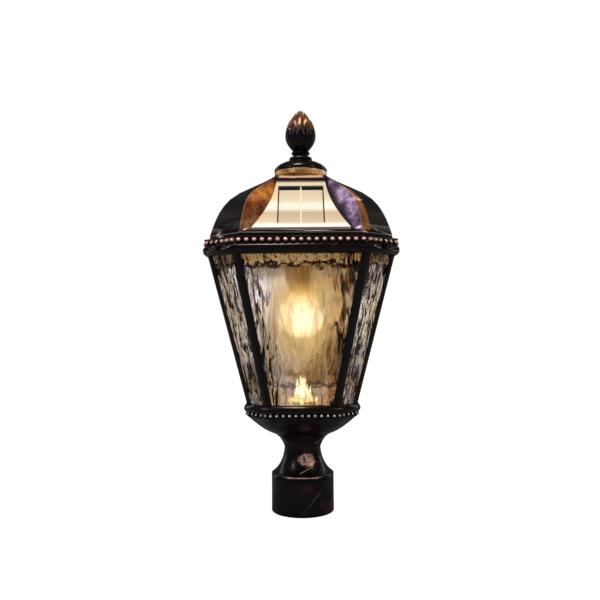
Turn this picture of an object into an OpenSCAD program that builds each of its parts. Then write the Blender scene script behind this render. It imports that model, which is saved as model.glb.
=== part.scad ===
// Solar post lantern: an eight-sided glass lantern under a domed roof that carries four solar panels.
// Millimetres, +Z up, origin at the middle of the fitter's bottom edge, front face towards -Y.

/* [Post fitter] */
// Outside diameter of the post that the fitter drops over
post_d = 76.2; // [70:0.1:90]
// Radial clearance between the post and the fitter's bore
post_gap = 0.5; // [0.3:0.1:1.5]
// Wall of the fitter's sleeve
fitter_wall = 4.8; // [4:0.1:7]
// Height of the straight sleeve
fitter_h = 52.5; // [45:0.5:80]
// Depth of the bore from the sleeve's bottom edge up to the stop that rests on the post
bore_depth = 48; // [40:0.5:52]
// Width of the ring that rests on the post's end
stop_w = 5.5; // [3:0.5:8]
// Radius of the neck at its top
neck_r = 25; // [23:0.5:30]
// Height of the hollow-curved neck above the sleeve
neck_h = 39.5; // [30:0.5:50]
// Wall of the neck
neck_wall = 4.5; // [3:0.5:6]
// Thickness of the web that closes the neck's top
neck_web = 6; // [4:0.5:9]
// Radius of each set screw
set_r = 3; // [2.5:0.1:4]
// Height of the set screws above the fitter's bottom edge
set_z = 24; // [15:0.5:35]
// Running clearance of a set screw in its thread
set_gap = 0.05; // [0.02:0.01:0.1]
// How far a set screw's outer end lies under the sleeve's surface
set_sink = 0.2; // [0:0.1:1]

/* [Bowl and its nipple] */
// Height of the bowl
bowl_h = 43.5; // [35:0.5:60]
// Half width of the bowl across its wide faces, where it stands on the neck
bowl_foot_a = 24.5; // [23:0.5:30]
// Half width of the bowl at its waist, where the bowl turns into the hollow foot
bowl_waist_a = 38; // [32:0.5:44]
// Height of the waist above the neck
bowl_waist_h = 19.5; // [14:0.5:26]
// Half width of the bowl at its mouth
bowl_mouth_a = 70.5; // [66:0.5:72]
// Wall of the bowl
bowl_wall = 3.5; // [2.5:0.5:5]
// Floor of the bowl
bowl_floor = 5; // [3:0.5:8]
// Radius of the threaded nipple that joins neck and bowl
nipple_r = 9.9; // [8:0.1:12]
// Wall of the nipple
nipple_wall = 2.6; // [2:0.1:4]
// Across-flats size of the lock nuts
nut_af = 28; // [26:0.5:32]
// Thickness of a lock nut
nut_h = 6; // [4:0.5:8]

/* [Glass cage] */
// Height of the corner posts between the two rims
cage_h = 192; // [150:1:230]
// Half width of the cage across its wide faces at the bottom
cage_foot_a = 73.9; // [70:0.5:76]
// Half width of the cage across its wide faces at the top
cage_head_a = 119.4; // [112:0.2:119.6]
// How far each narrow corner face sets back at the bottom
foot_run = 28; // [24:0.5:32]
// How far each narrow corner face sets back at the top
head_run = 39; // [34:0.5:42]
// Width of a corner post's flange
flange_w = 6.7; // [5:0.1:8]
// Thickness of a corner post
flange_t = 2.6; // [2:0.1:4]
// Thickness of the glass
pane_t = 3; // [2:0.5:4]
// Clearance between glass and metal
pane_gap = 0.3; // [0.1:0.1:0.6]
// Distance of a pane's edge from the corner line
pane_margin = 4.2; // [4:0.1:4.8]

/* [Bottom rim and base plate] */
// Height of the bottom rim
foot_rim_h = 19; // [16:0.5:24]
// Height of the rim's rounded band
foot_band_h = 11.6; // [9:0.2:13]
// How far the rounded band stands out
foot_band_p = 3.4; // [2:0.2:5]
// Radius of a bead on the bottom rim
foot_bead_r = 2.7; // [2:0.1:3.2]
// Pitch of the beads on the bottom rim
foot_pitch = 8.2; // [7:0.1:10]
// Width of the ledge that carries the base plate
ledge_w = 6; // [4:0.5:9]
// Thickness of the base plate
base_plate_t = 2; // [1.5:0.5:3]
// Radius of the base screws
base_screw_r = 2; // [1.5:0.1:2.5]
// Height of the reflector cone
cone_h = 35; // [25:1:50]
// Radius of the reflector cone at its foot
cone_r = 17; // [12:0.5:22]

/* [Top rim] */
// Height of the top rim
head_rim_h = 21.7; // [20:0.5:26]
// Height of the rim's rounded band
head_band_h = 13; // [10:0.5:13.5]
// How far the rounded band stands out from the cage
head_band_p = 5.9; // [4:0.1:8]
// Radius of a bead on the top rim
head_bead_r = 3.4; // [2.5:0.1:3.4]
// Pitch of the beads on the top rim
head_pitch = 9.77; // [8:0.01:11]
// Thickness of the rim's lip over the glass, and of its seat under the roof
lip_t = 3.5; // [2.5:0.5:4]
// Thickness of the roof's gasket
gasket_t = 2.7; // [1.5:0.1:3]
// Radius of the screws that clamp the roof
roof_screw_r = 2; // [1.5:0.1:2.5]

/* [Roof] */
// Height of the dome above the panel frames
roof_head = 8.67; // [7:0.01:12]
// Half width of the roof across its wide faces at the base
roof_base_a = 117.3; // [113:0.1:118]
// Half width of the roof at the dome's top
roof_top_a = 32; // [31:0.5:38]
// How far each corner face sets back at the base
roof_run = 41.9; // [39:0.1:43]
// Height of the upright band at the base
roof_band_h = 5; // [3:0.5:6]
// Wall of the roof casting
roof_wall = 3; // [2.5:0.1:4]
// Height of the shoulder between the dome and the cap
shoulder_h = 8.8; // [6:0.2:12]

/* [Solar panels] */
// Tilt of the panel frames from level
panel_tilt = 45; // [42:0.5:48]
// Distance of a frame's bottom edge from the axis
frame_foot_d = 111; // [109:0.5:112]
// Height of a frame's bottom edge above the roof's base
frame_foot_z = 11.5; // [10.5:0.5:13]
// Length of a frame up the slope
frame_len = 103; // [90:1:106]
// Half width of a frame at its bottom edge
frame_foot_w = 61.6; // [56:0.2:64]
// How far a frame's top corners stay clear of the next frame's end
frame_hip = 5.4; // [5:0.1:8]
// Thickness of a panel frame
frame_t = 4.5; // [4:0.1:5]
// Clearance round a panel frame
frame_gap = 0.4; // [0.2:0.1:0.8]
// Width of a frame beside the top of its window
frame_rail = 2.8; // [2.7:0.1:6]
// Distance of the window from the frame's top edge
window_head = 13; // [11:0.5:20]
// Distance of the window from the frame's bottom edge
window_foot = 7; // [6:0.5:9]
// Thickness of a solar panel
panel_t = 2.2; // [1.6:0.1:2.4]
// How far a solar panel reaches under its frame
panel_lap = 2; // [1.5:0.1:2.2]
// Thickness of a solar cell
cell_t = 0.4; // [0.2:0.1:0.8]
// Gap between the two cells of a panel
cell_gap = 1.6; // [1:0.2:3]

/* [Cap and finial] */
// Radius of the round cap
cap_r = 36.8; // [34:0.2:42]
// Height of the round cap
cap_h = 16; // [12:0.5:20]
// Wall of the cap
cap_wall = 3; // [2:0.5:4]
// Height of the finial
finial_h = 72; // [60:1:90]
// Radius of the finial's bud
bud_r = 20.3; // [16:0.1:24]
// Radius of the finial's stem
stem_r = 11; // [9:0.5:13]
// Radius of the finial's foot
finial_foot_r = 16; // [14:0.5:20]
// Radius of the stud in the finial
stud_r = 4; // [3:0.5:5]

/* [Ceiling tray and electrics] */
// Half width of the ceiling tray
tray_a = 108.5; // [100:0.5:109]
// How far the tray's corners set back
tray_run = 48; // [46:1:60]
// Thickness of the tray
tray_t = 1.5; // [1:0.5:2.5]
// Height of the tray's underside above the top rim's bottom edge
tray_rise = 5.5; // [4.5:0.5:7]
// Distance of the tray's bosses from the axis, along X and along Y
boss_pos = 78; // [74:1:82]
// Radius of a boss
boss_r = 4.5; // [4:0.1:6]
// Radius of a battery cell
cell_r = 9.2; // [7:0.1:9.2]
// Length of a battery cell
battery_len = 65; // [50:1:70]
// Wall of the battery box
box_wall = 2; // [1.5:0.5:3]
// Clearance round a battery cell
cell_play = 0.5; // [0.3:0.1:1]
// Radius of the cover's hinge pin
pin_r = 1.2; // [1:0.1:1.6]
// Running clearance of the hinge pin
pin_gap = 0.05; // [0.02:0.01:0.1]
// Travel of the switch knob
switch_travel = 6; // [4:0.5:8]

/* [Lamp socket and bulb] */
// Radius of the lamp socket
socket_r = 19; // [17:0.5:21]
// Length of the lamp socket
socket_h = 34; // [30:1:40]
// Radius of the bulb's screw cap
bulb_cap_r = 13; // [12:0.1:13.6]
// Clearance between the screw cap and the socket
bulb_gap = 0.3; // [0.3:0.05:0.5]
// Length of the bulb from the tip of its contact to the globe's end
bulb_len = 106; // [95:1:112]
// Radius of the bulb's globe
globe_r = 29; // [22:0.5:30]
// Wall of the bulb's globe
globe_wall = 1.2; // [0.8:0.1:2]

/* [Hidden] */

// Fineness of round surfaces
$fn = 64;
// Overlap of pieces that are fused into one casting
fuse = 0.5;
// Free gap between pieces of different bodies
free_gap = 0.3;

// Heights of the stacked castings
neck_top = fitter_h + neck_h;
bowl_top = neck_top + bowl_h;
foot_rim_top = bowl_top + foot_rim_h;
cage_top = foot_rim_top + cage_h;
head_rim_top = cage_top + head_rim_h;
roof_z = head_rim_top;
frame_z = roof_z + frame_foot_z;
frame_rise = frame_len * sin(panel_tilt);
dome_top = frame_z + frame_rise + roof_head;
cap_z = dome_top + shoulder_h;
finial_z = cap_z + cap_h;

// Radii of the fitter
bore_r = post_d / 2 + post_gap;
fitter_r = bore_r + fitter_wall;

// Functions for points and rings
function mix(a, b, t) = a + (b - a) * t;
function curve2(p, t) = mix(mix(p[0], p[1], t), mix(p[1], p[2], t), t);
function curve3(p, t) = mix(curve2([p[0], p[1], p[2]], t), curve2([p[1], p[2], p[3]], t), t);
function at_z(p, z) = [for (q = p) [q[0], q[1], z]];
function unit(v) = v / norm(v);

// The lantern's plan: four wide faces at distance a and four corner faces that set back by run
function plan(a, run) = let (b = a - run)
    [[b, -a], [a, -b], [a, b], [b, a], [-b, a], [-a, b], [-a, -b], [-b, -a]];
function ring(z, a, run) = at_z(plan(a, run), z);

// A closed outline drawn in by w on all its edges
function drawn_in(p, w) = let (n = len(p)) [for (i = [0:n - 1])
    let (e1 = unit(p[i] - p[(i + n - 1) % n]), e2 = unit(p[(i + 1) % n] - p[i]),
        n1 = [-e1[1], e1[0]], n2 = [-e2[1], e2[0]])
    p[i] + w * (n1 + n2) / (1 + n1 * n2)];

// Solid through a stack of rings round the axis, closed by a fan from the axis at each end
module loft(rings) {
    m = len(rings);
    n = len(rings[0]);
    hub_low = [0, 0, rings[0][0][2]];
    hub_high = [0, 0, rings[m - 1][0][2]];
    sides = [for (j = [0:m - 2], i = [0:n - 1], half = [0, 1])
        let (k = (i + 1) % n, low = j * n, high = (j + 1) * n)
        half == 0 ? [low + i, high + i, high + k] : [low + i, high + k, low + k]];
    bottom = [for (i = [0:n - 1]) [m * n, i, (i + 1) % n]];
    top = [for (i = [0:n - 1]) [m * n + 1, (m - 1) * n + (i + 1) % n, (m - 1) * n + i]];
    polyhedron(points = concat([for (r = rings) each r], [hub_low, hub_high]),
        faces = concat(sides, bottom, top));
}

// Hollow casting open at its foot: two stacks of like rings round the axis, joined by a flat foot
module shell(outer, inner) {
    m = len(outer);
    n = len(outer[0]);
    skins = [for (skin = [0, 1], j = [0:m - 2], i = [0:n - 1], half = [0, 1])
        let (k = (i + 1) % n, low = (skin * m + j) * n, high = low + n,
            t = half == 0 ? [low + i, high + i, high + k] : [low + i, high + k, low + k])
        skin == 0 ? t : [t[2], t[1], t[0]]];
    tops = [for (skin = [0, 1], i = [0:n - 1])
        let (k = (i + 1) % n, row = ((skin + 1) * m - 1) * n, hub = 2 * m * n + skin)
        skin == 0 ? [hub, row + k, row + i] : [hub, row + i, row + k]];
    foot = [for (i = [0:n - 1], half = [0, 1]) let (k = (i + 1) % n, low = m * n)
        half == 0 ? [i, k, low + k] : [i, low + k, low + i]];
    polyhedron(points = concat([for (r = outer) each r], [for (r = inner) each r],
        [[0, 0, outer[m - 1][0][2]], [0, 0, inner[m - 1][0][2]]]),
        faces = concat(skins, tops, foot));
}

// Solid between two like outlines, closed by a fan from each outline's first corner
module bar(low, high) {
    n = len(low);
    sides = [for (i = [0:n - 1], half = [0, 1]) let (k = (i + 1) % n)
        half == 0 ? [i, n + i, n + k] : [i, n + k, k]];
    bottom = [for (i = [1:n - 2]) [0, i, i + 1]];
    top = [for (i = [1:n - 2]) [n, n + i + 1, n + i]];
    polyhedron(points = concat(low, high), faces = concat(sides, bottom, top));
}

// Upright prism over the lantern's plan
module prism(a, run, z, h) {
    translate([0, 0, z])
        linear_extrude(h)
            polygon(plan(a, run));
}

module hex(af, h) {
    cylinder(h = h, r = af / 2 / cos(30), $fn = 6);
}

// Copies on the four corner faces, with +X pointing out through the face
module each_corner() {
    for (i = [0:3])
        rotate(45 + 90 * i)
            children();
}

// A row of beads along all eight faces of a rim
module bead_row(z, a, run, r, pitch) {
    p = plan(a, run);
    for (i = [0:7]) {
        start = p[i];
        end = p[(i + 1) % 8];
        count = max(1, round(norm(end - start) / pitch));
        for (j = [0:count - 1])
            translate([each mix(start, end, (j + 0.5) / count), z])
                sphere(r = r, $fn = 24);
    }
}

// Post fitter and its fasteners

// The neck's hollow curve is part of an ellipse that runs on below the sleeve's top edge
neck_flare_drop = 1.115;
neck_flare_out = 1.77;
neck_flare_z = neck_h * neck_flare_drop;
neck_flare_r = (fitter_r - neck_r) * neck_flare_out;
function neck_at(z) = let (u = min(1, (neck_top - z) / neck_flare_z))
    min(fitter_r, neck_r + neck_flare_r * (1 - sqrt(1 - u * u)));

module post_fitter() {
    outer = [for (i = [0:12]) let (z = mix(fitter_h, neck_top, i / 12)) [neck_at(z), z]];
    stop_r = bore_r - stop_w;
    hollow_top = neck_top - neck_web;
    inner = [for (i = [0:10]) let (z = mix(bore_depth, hollow_top, i / 10))
        [min(stop_r, neck_at(z) - neck_wall), z]];
    color([0.09, 0.07, 0.06])
        difference() {
            rotate_extrude($fn = 128)
                polygon(concat([[0, 0], [fitter_r - 0.6, 0], [fitter_r, 0.6]], outer, [[0, neck_top]]));
            translate([0, 0, -1])
                cylinder(h = bore_depth + 1, r = bore_r, $fn = 128);
            rotate_extrude($fn = 128)
                polygon(concat([[0, bore_depth - 1], [stop_r, bore_depth - 1]], inner,
                    [[0, hollow_top]]));
            cylinder(h = neck_top + 1, r = nipple_r + free_gap);
            for (i = [0:2])
                rotate(90 + 120 * i)
                    translate([bore_r - 1, 0, set_z])
                        rotate([0, 90, 0])
                            cylinder(h = fitter_wall + 2, r = set_r + set_gap);
        }
}

// Socket-headed set screw that points at the post, shown from the rear round to the front
module set_screw(turn) {
    length = fitter_wall - set_sink - free_gap;
    color([0.12, 0.1, 0.09])
        rotate(90 + turn)
            translate([bore_r + free_gap, 0, set_z])
                rotate([0, 90, 0])
                    difference() {
                        cylinder(h = length, r = set_r);
                        translate([0, 0, length - 2.2])
                            hex(3, 3);
                    }
}

nipple_low = neck_top - neck_web - nut_h - 3;
nipple_high = neck_top + bowl_floor + nut_h + 3;

module neck_nipple() {
    color([0.72, 0.62, 0.35])
        translate([0, 0, nipple_low])
            difference() {
                cylinder(h = nipple_high - nipple_low, r = nipple_r);
                translate([0, 0, -1])
                    cylinder(h = nipple_high - nipple_low + 2, r = nipple_r - nipple_wall);
            }
}

module nipple_nuts() {
    color([0.6, 0.58, 0.55])
        for (z = [neck_top - neck_web - nut_h, neck_top + bowl_floor])
            translate([0, 0, z])
                difference() {
                    hex(nut_af, nut_h);
                    translate([0, 0, -1])
                        cylinder(h = nut_h + 2, r = nipple_r);
                }
}

// Bowl and bottom rim

// Set back of the bowl's corner faces where the bowl is a wide
bowl_foot_run = 5.5;
bowl_waist_run = 7.5;
bowl_mouth_run = foot_run - 1;
bowl_waist_z = neck_top + bowl_waist_h;
function bowl_rings(w) = concat(
    [for (i = [0:5]) let (t = i / 5,
        p = curve2([[bowl_foot_a, neck_top], [bowl_waist_a - 9, bowl_waist_z - 5],
            [bowl_waist_a, bowl_waist_z]], t))
        at_z(drawn_in(plan(p[0], mix(bowl_foot_run, bowl_waist_run, t)), w), p[1])],
    [for (i = [1:8]) let (t = i / 8,
        p = curve2([[bowl_waist_a, bowl_waist_z], [bowl_waist_a + 14, bowl_waist_z + 5],
            [bowl_mouth_a, bowl_top]], t))
        at_z(drawn_in(plan(p[0], mix(bowl_waist_run, bowl_mouth_run, t)), w), p[1])]);

// Places of the four base screws, on the diagonals
base_screw_d = cage_foot_a - ledge_w - 9;
base_screw_len = 24;
base_plate_z = foot_rim_top - base_plate_t - 2.5;

module base_bowl() {
    color([0.1, 0.08, 0.07])
        difference() {
            union() {
                difference() {
                    loft(bowl_rings(0));
                    loft([for (r = bowl_rings(bowl_wall)) [for (q = r) q + [0, 0, bowl_floor * 0.5]]]);
                    prism(bowl_foot_a - bowl_wall, bowl_foot_run, neck_top + bowl_floor,
                        bowl_waist_h - bowl_floor);
                }
                intersection() {
                    loft(bowl_rings(0));
                    translate([0, 0, neck_top])
                        cylinder(h = bowl_floor, r = bowl_waist_a);
                }
                intersection() {
                    loft(bowl_rings(0));
                    each_corner()
                        translate([base_screw_d, 0, bowl_top - 22])
                            cylinder(h = 22, r = 5.5);
                }
            }
            translate([0, 0, neck_top - 1])
                cylinder(h = bowl_floor + 2, r = nipple_r + free_gap);
            each_corner()
                translate([base_screw_d, 0, bowl_top - 12])
                    cylinder(h = 13, r = base_screw_r + 0.05);
        }
}

foot_bead_a = cage_foot_a - 0.5;
foot_bead_z = foot_rim_top - foot_band_h - foot_bead_r + 0.2;
foot_opening_a = cage_foot_a - flange_t - pane_gap - pane_t - ledge_w;
// The hole under the plate leaves metal round the base screws in its corners
foot_hole_run = 2 * (foot_opening_a - ledge_w) - sqrt(2) * (base_screw_d - 7);

module bottom_rim() {
    band_z = foot_rim_top - foot_band_h;
    band = [for (i = [0:8]) let (th = 10 + 160 * i / 8)
        ring(mix(band_z, foot_rim_top, i / 8), cage_foot_a + foot_band_p * sin(th), foot_run)];
    color([0.1, 0.08, 0.07])
        difference() {
            union() {
                loft(concat([ring(bowl_top, bowl_mouth_a, foot_run - 1),
                    ring(bowl_top + 1.5, foot_bead_a - 0.4, foot_run),
                    ring(band_z - 0.4, foot_bead_a - 0.4, foot_run)], band));
                bead_row(foot_bead_z, foot_bead_a, foot_run, foot_bead_r, foot_pitch);
            }
            prism(foot_opening_a - ledge_w, foot_hole_run, bowl_top - 1, foot_rim_h + 2);
            prism(foot_opening_a, foot_run - 2, base_plate_z, foot_rim_h);
            each_corner()
                translate([base_screw_d, 0, bowl_top - 1])
                    cylinder(h = foot_rim_h, r = base_screw_r + 0.25);
        }
}

module base_plate() {
    color([0.75, 0.66, 0.45])
        difference() {
            prism(foot_opening_a - free_gap, foot_run - 2, base_plate_z, base_plate_t);
            each_corner()
                translate([base_screw_d, 0, base_plate_z - 1])
                    cylinder(h = base_plate_t + 2, r = base_screw_r + 0.25);
            translate([0, 0, base_plate_z - 1])
                cylinder(h = base_plate_t + 2, r = base_screw_r + 0.25);
        }
}

module pan_screw(r, length) {
    cylinder(h = length, r = r);
    translate([0, 0, length])
        rotate_extrude()
            polygon([[0, 0], [r * 1.9, 0], [r * 1.9, r * 0.6], [r * 1.5, r * 1.1], [0, r * 1.25]]);
}

// Four screws down through plate and rim into the bowl, and a short one up into the reflector
module base_screws() {
    color([0.62, 0.6, 0.56]) {
        each_corner()
            translate([base_screw_d, 0, base_plate_z + base_plate_t - base_screw_len])
                pan_screw(base_screw_r, base_screw_len);
        translate([0, 0, base_plate_z + 7])
            rotate([180, 0, 0])
                pan_screw(base_screw_r, 7);
    }
}

module reflector_cone() {
    color([0.95, 0.93, 0.85])
        translate([0, 0, base_plate_z + base_plate_t])
            difference() {
                rotate_extrude()
                    polygon([[0, 0], [cone_r + 3, 0], [cone_r + 3, 1], [cone_r, 1.5],
                        [cone_r * 0.52, cone_h * 0.42], [cone_r * 0.18, cone_h * 0.85], [0, cone_h]]);
                translate([0, 0, -1])
                    cylinder(h = 7, r = base_screw_r + 0.05);
            }
}

// Corner posts and glass

// Outline of a 135 degree angle strip that follows corner i at some depth, its hollow corner first
function angle_outline(p, i, depth, thick, reach) = let (
    c = p[i % 8], u1 = unit(p[(i + 7) % 8] - c), u2 = unit(p[(i + 1) % 8] - c),
    n1 = [u1[1], -u1[0]], n2 = [-u2[1], u2[0]], inward = (n1 + n2) / (1 + n1 * n2))
    [c + (depth + thick) * inward, c + reach * u1 + (depth + thick) * n1, c + reach * u1 + depth * n1,
        c + depth * inward, c + reach * u2 + depth * n2, c + reach * u2 + (depth + thick) * n2];

// Outline of a thin web that runs straight in from corner i
function web_outline(p, i, near, far, thick) = let (
    c = p[i % 8], u1 = unit(p[(i + 7) % 8] - c), u2 = unit(p[(i + 1) % 8] - c),
    n1 = [u1[1], -u1[0]], n2 = [-u2[1], u2[0]], inward = (n1 + n2) / (1 + n1 * n2),
    across = thick / 2 * unit([inward[1], -inward[0]]))
    [c + near * inward - across, c + near * inward + across,
        c + far * inward + across, c + far * inward - across];

// The cage's plan at height share t, and that height
function cage_plan(t) = plan(mix(cage_foot_a, cage_head_a, t), mix(foot_run, head_run, t));
function cage_z(t) = mix(foot_rim_top, cage_top, t);

module corner_post(i) {
    color([0.1, 0.08, 0.07])
        bar(at_z(angle_outline(cage_plan(0), i, 0, flange_t, flange_w), cage_z(0)),
            at_z(angle_outline(cage_plan(1), i, 0, flange_t, flange_w), cage_z(1)));
}

// Outline of a pane on the face that starts at corner i
function pane_outline(p, i) = let (
    c1 = p[i % 8], c2 = p[(i + 1) % 8], u = unit(c2 - c1), n = [-u[1], u[0]],
    near = flange_t + pane_gap, far = near + pane_t)
    [c1 + pane_margin * u + near * n, c2 - pane_margin * u + near * n,
        c2 - pane_margin * u + far * n, c1 + pane_margin * u + far * n];

module pane(i) {
    color([0.85, 0.86, 0.84, 0.4])
        bar(at_z(pane_outline(cage_plan(0), i), cage_z(0)), at_z(pane_outline(cage_plan(1), i), cage_z(1)));
}

// Spring clips: a web through the gap between two panes, and wings that press on both
clip_t = 0.8;
clip_reach = 10;
clip_len = 0.045;
module glass_clips() {
    depth = flange_t + 2 * pane_gap + pane_t;
    color([0.7, 0.62, 0.4])
        for (i = [0:7], t = [0.1, 0.9]) {
            low = cage_plan(t - clip_len / 2);
            high = cage_plan(t + clip_len / 2);
            low_z = cage_z(t - clip_len / 2);
            high_z = cage_z(t + clip_len / 2);
            union() {
                bar(at_z(angle_outline(low, i, depth, clip_t, clip_reach), low_z),
                    at_z(angle_outline(high, i, depth, clip_t, clip_reach), high_z));
                bar(at_z(web_outline(low, i, flange_t + clip_t / 2, depth + clip_t / 2, clip_t), low_z),
                    at_z(web_outline(high, i, flange_t + clip_t / 2, depth + clip_t / 2, clip_t), high_z));
            }
        }
}

// Top rim

head_bead_a = cage_head_a + 2.6;
head_bead_z = cage_top + head_band_h + head_bead_r - 0.2;
head_inner_a = cage_head_a - 0.4;
lip_a = cage_head_a - flange_t - pane_gap - pane_t - 2.5;
seat_z = head_rim_top - gasket_t - free_gap;
seat_a = roof_base_a - roof_wall - 2.5;
roof_screw_z = cage_top + 10;
// Distances from the axis along a diagonal: rim's wall and tabs of the roof
function diagonal(a, run) = (2 * a - run) / sqrt(2);
rim_wall_d = diagonal(head_inner_a, head_run + 2);
tab_d = diagonal(roof_base_a, roof_run) - roof_wall;
tab_w = 14;
tab_t = 3;
tab_z = cage_top + lip_t + 1.2;
screw_face_d = diagonal(cage_head_a + head_band_p, head_run + 2) - 1.6;

module top_rim() {
    band_end = 150;
    band = [for (th = [25.75:17.75:band_end])
        ring(cage_top + head_band_h * (1 - cos(th)) / (1 - cos(band_end)),
            cage_head_a + head_band_p * sin(th), head_run + 2)];
    color([0.12, 0.09, 0.08])
        difference() {
            union() {
                loft(concat([ring(cage_top, cage_head_a + 0.5, head_run + 2)], band,
                    [ring(cage_top + head_band_h + 0.5, head_bead_a, head_run + 2),
                    ring(head_bead_z + head_bead_r - 0.2, head_bead_a, head_run + 2),
                    ring(head_bead_z + head_bead_r + 0.4, head_bead_a + 1.6, head_run + 2),
                    ring(head_rim_top - 0.6, head_bead_a + 1.6, head_run + 2),
                    ring(head_rim_top, head_bead_a + 0.8, head_run + 2)]));
                bead_row(head_bead_z, head_bead_a, head_run + 2, head_bead_r, head_pitch);
            }
            prism(lip_a, head_run, cage_top - 1, head_rim_h + 2);
            prism(head_inner_a, head_run + 2, cage_top + lip_t, seat_z - lip_t - cage_top - lip_t);
            prism(head_inner_a + 0.6, head_run + 2, seat_z, head_rim_h);
            each_corner() {
                translate([tab_d - tab_t - 1.2, -tab_w / 2 - 1.2, tab_z])
                    cube([rim_wall_d - tab_d + tab_t + 1.2, tab_w + 2.4, head_rim_h]);
                translate([rim_wall_d - 2, 0, roof_screw_z])
                    rotate([0, 90, 0])
                        cylinder(h = 20, r = roof_screw_r);
                translate([screw_face_d, 0, roof_screw_z])
                    rotate([0, 90, 0])
                        cylinder(h = 10, r = roof_screw_r * 1.9 + 0.4);
            }
        }
}

module roof_gasket() {
    color([0.08, 0.08, 0.08])
        difference() {
            prism(head_inner_a + 0.2, head_run + 2, seat_z, gasket_t);
            prism(seat_a, head_run, seat_z - 1, gasket_t + 2);
            each_corner()
                translate([tab_d - tab_t - 1.2, -tab_w / 2 - 1.2, seat_z - 1])
                    cube([20, tab_w + 2.4, gasket_t + 2]);
        }
}

module roof_screws() {
    shank = screw_face_d - tab_d + tab_t + 1;
    color([0.14, 0.11, 0.09])
        each_corner()
            translate([screw_face_d - shank, 0, roof_screw_z])
                rotate([0, 90, 0])
                    pan_screw(roof_screw_r, shank);
}

// Roof shell

dome_z = roof_z + roof_band_h;
dome_curve = [[roof_base_a, dome_z], [roof_base_a * 0.841, mix(dome_z, dome_top, 0.738)],
    [mix(roof_top_a, roof_base_a, 0.495), mix(dome_z, dome_top, 0.625)], [roof_top_a, dome_top]];
function dome_t(z, low = 0, high = 1, n = 20) = n == 0 ? (low + high) / 2 :
    let (m = (low + high) / 2)
    curve3(dome_curve, m)[1] < z ? dome_t(z, m, high, n - 1) : dome_t(z, low, m, n - 1);
function dome_a(z) = z <= dome_z ? roof_base_a : curve3(dome_curve, dome_t(z))[0];
function dome_run(z) = mix(roof_run, 1.2, z <= dome_z ? 0 : dome_t(z));

// A panel frame's top edge, its window, and its half width s millimetres up the slope
frame_head_d = frame_foot_d - frame_len * cos(panel_tilt);
frame_head_w = frame_head_d - frame_hip;
window_w = 2 * (frame_head_w - frame_rail);
window_len = frame_len - window_foot - window_head;
function frame_w(s) = let (u = min(1, max(0, s / frame_len)))
    mix(frame_head_w, frame_foot_w, pow(1 - u, 1.8));
function face_d(z) = frame_foot_d - (z - frame_z) / tan(panel_tilt);
recess_low = frame_z - frame_t * cos(panel_tilt) - frame_gap;
recess_high = frame_z + (frame_len + frame_gap) * sin(panel_tilt);
// The seat ends under the frame's top end, and from there the recess follows that end
seat_high = recess_high - frame_t * cos(panel_tilt);
function seat_d(z) = z > seat_high ?
    frame_head_d - frame_gap * cos(panel_tilt) - (recess_high - z) * tan(panel_tilt) :
    face_d(z) - frame_t / sin(panel_tilt);

// One ring of the roof: on each wide side the outline steps in to the seat of the panel frame
function roof_ring(z, sunk) = let (
    a = dome_a(z), b = a - dome_run(z),
    w = min(b - 0.6, frame_w((z - frame_z) / sin(panel_tilt)) + frame_gap),
    d = sunk ? seat_d(z) : a,
    side = [[-b, -a], [-w, -d], [w, -d], [b, -a]])
    [for (k = [0:3], q = side) [q[0] * cos(90 * k) - q[1] * sin(90 * k),
        q[0] * sin(90 * k) + q[1] * cos(90 * k)]];

// The shoulder is a round drum under the cap, and the roof's square top flares out to it
function round_ring(r) = [for (i = [0:15]) let (q = 22.5 * (i - 1.5)) [r * sin(q), -r * cos(q)]];

// Inner outline of the casting; the hollow behind a hip closes where the recesses leave no room for it
hip_mouth = 1.5;
function closed_ring(d) = let (e = hip_mouth, side = [[-d + 0.8 * e, -d - 0.2 * e], [-d + e, -d],
    [d - e, -d], [d - 0.8 * e, -d - 0.2 * e]])
    [for (k = [0:3], q = side) [q[0] * cos(90 * k) - q[1] * sin(90 * k),
        q[0] * sin(90 * k) + q[1] * cos(90 * k)]];
function core_ring(z, sunk) = let (q = drawn_in(roof_ring(z, sunk), roof_wall), w = q[2][0], d = -q[2][1])
    d - w > hip_mouth ? q : closed_ring(d);

recess_steps = 8;
function seat_levels() = concat([for (i = [0:recess_steps]) mix(recess_low, seat_high, i / recess_steps)],
    [recess_high]);
function roof_outer() = concat([for (l = concat(
    [[roof_z, false], [dome_z, false], [recess_low - 0.2, false]],
    [for (z = seat_levels()) [z, true]],
    [[recess_high + 0.2, false], [dome_top, false]])) at_z(roof_ring(l[0], l[1]), l[0])],
    [for (z = [mix(dome_top, cap_z, 0.25), cap_z]) at_z(round_ring(cap_r), z)]);
// Each inner ring: the height whose outline it follows, whether that is sunk, and its own height
function roof_inner() = let (
    crown = dome_top - roof_wall + 0.4,
    levels = concat([[roof_z, false, roof_z], [dome_z, false, dome_z],
        [recess_low - 0.2, false, mix(dome_z, recess_low, 0.15)],
        [recess_low, true, mix(dome_z, recess_low, 0.25)]],
        [for (z = seat_levels()) if (z > recess_low && z < recess_high)
            [z, true, z - roof_wall * (z - dome_z) / (dome_top - dome_z)]],
        [for (t = [0.2:0.2:0.8]) [recess_high, true, mix(recess_high, crown, t)]]))
    concat([for (l = levels) at_z(core_ring(l[0], l[1]), l[2])],
        [at_z(round_ring(frame_head_d - 3 * roof_wall), crown)]);

// Boss inside a corner of the dome, cut off inside the thickness of the casting
module roof_boss() {
    levels = [tray_top, roof_z, mix(roof_z, dome_top, 0.3), mix(roof_z, dome_top, 0.45),
        mix(roof_z, dome_top, 0.6), mix(roof_z, dome_top, 0.8)];
    intersection() {
        translate([boss_pos, boss_pos, tray_top])
            cylinder(h = dome_top - tray_top, r = boss_r);
        loft([for (z = levels) at_z(drawn_in(plan(dome_a(z), dome_run(z)), roof_wall / 2), z)]);
    }
}

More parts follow.
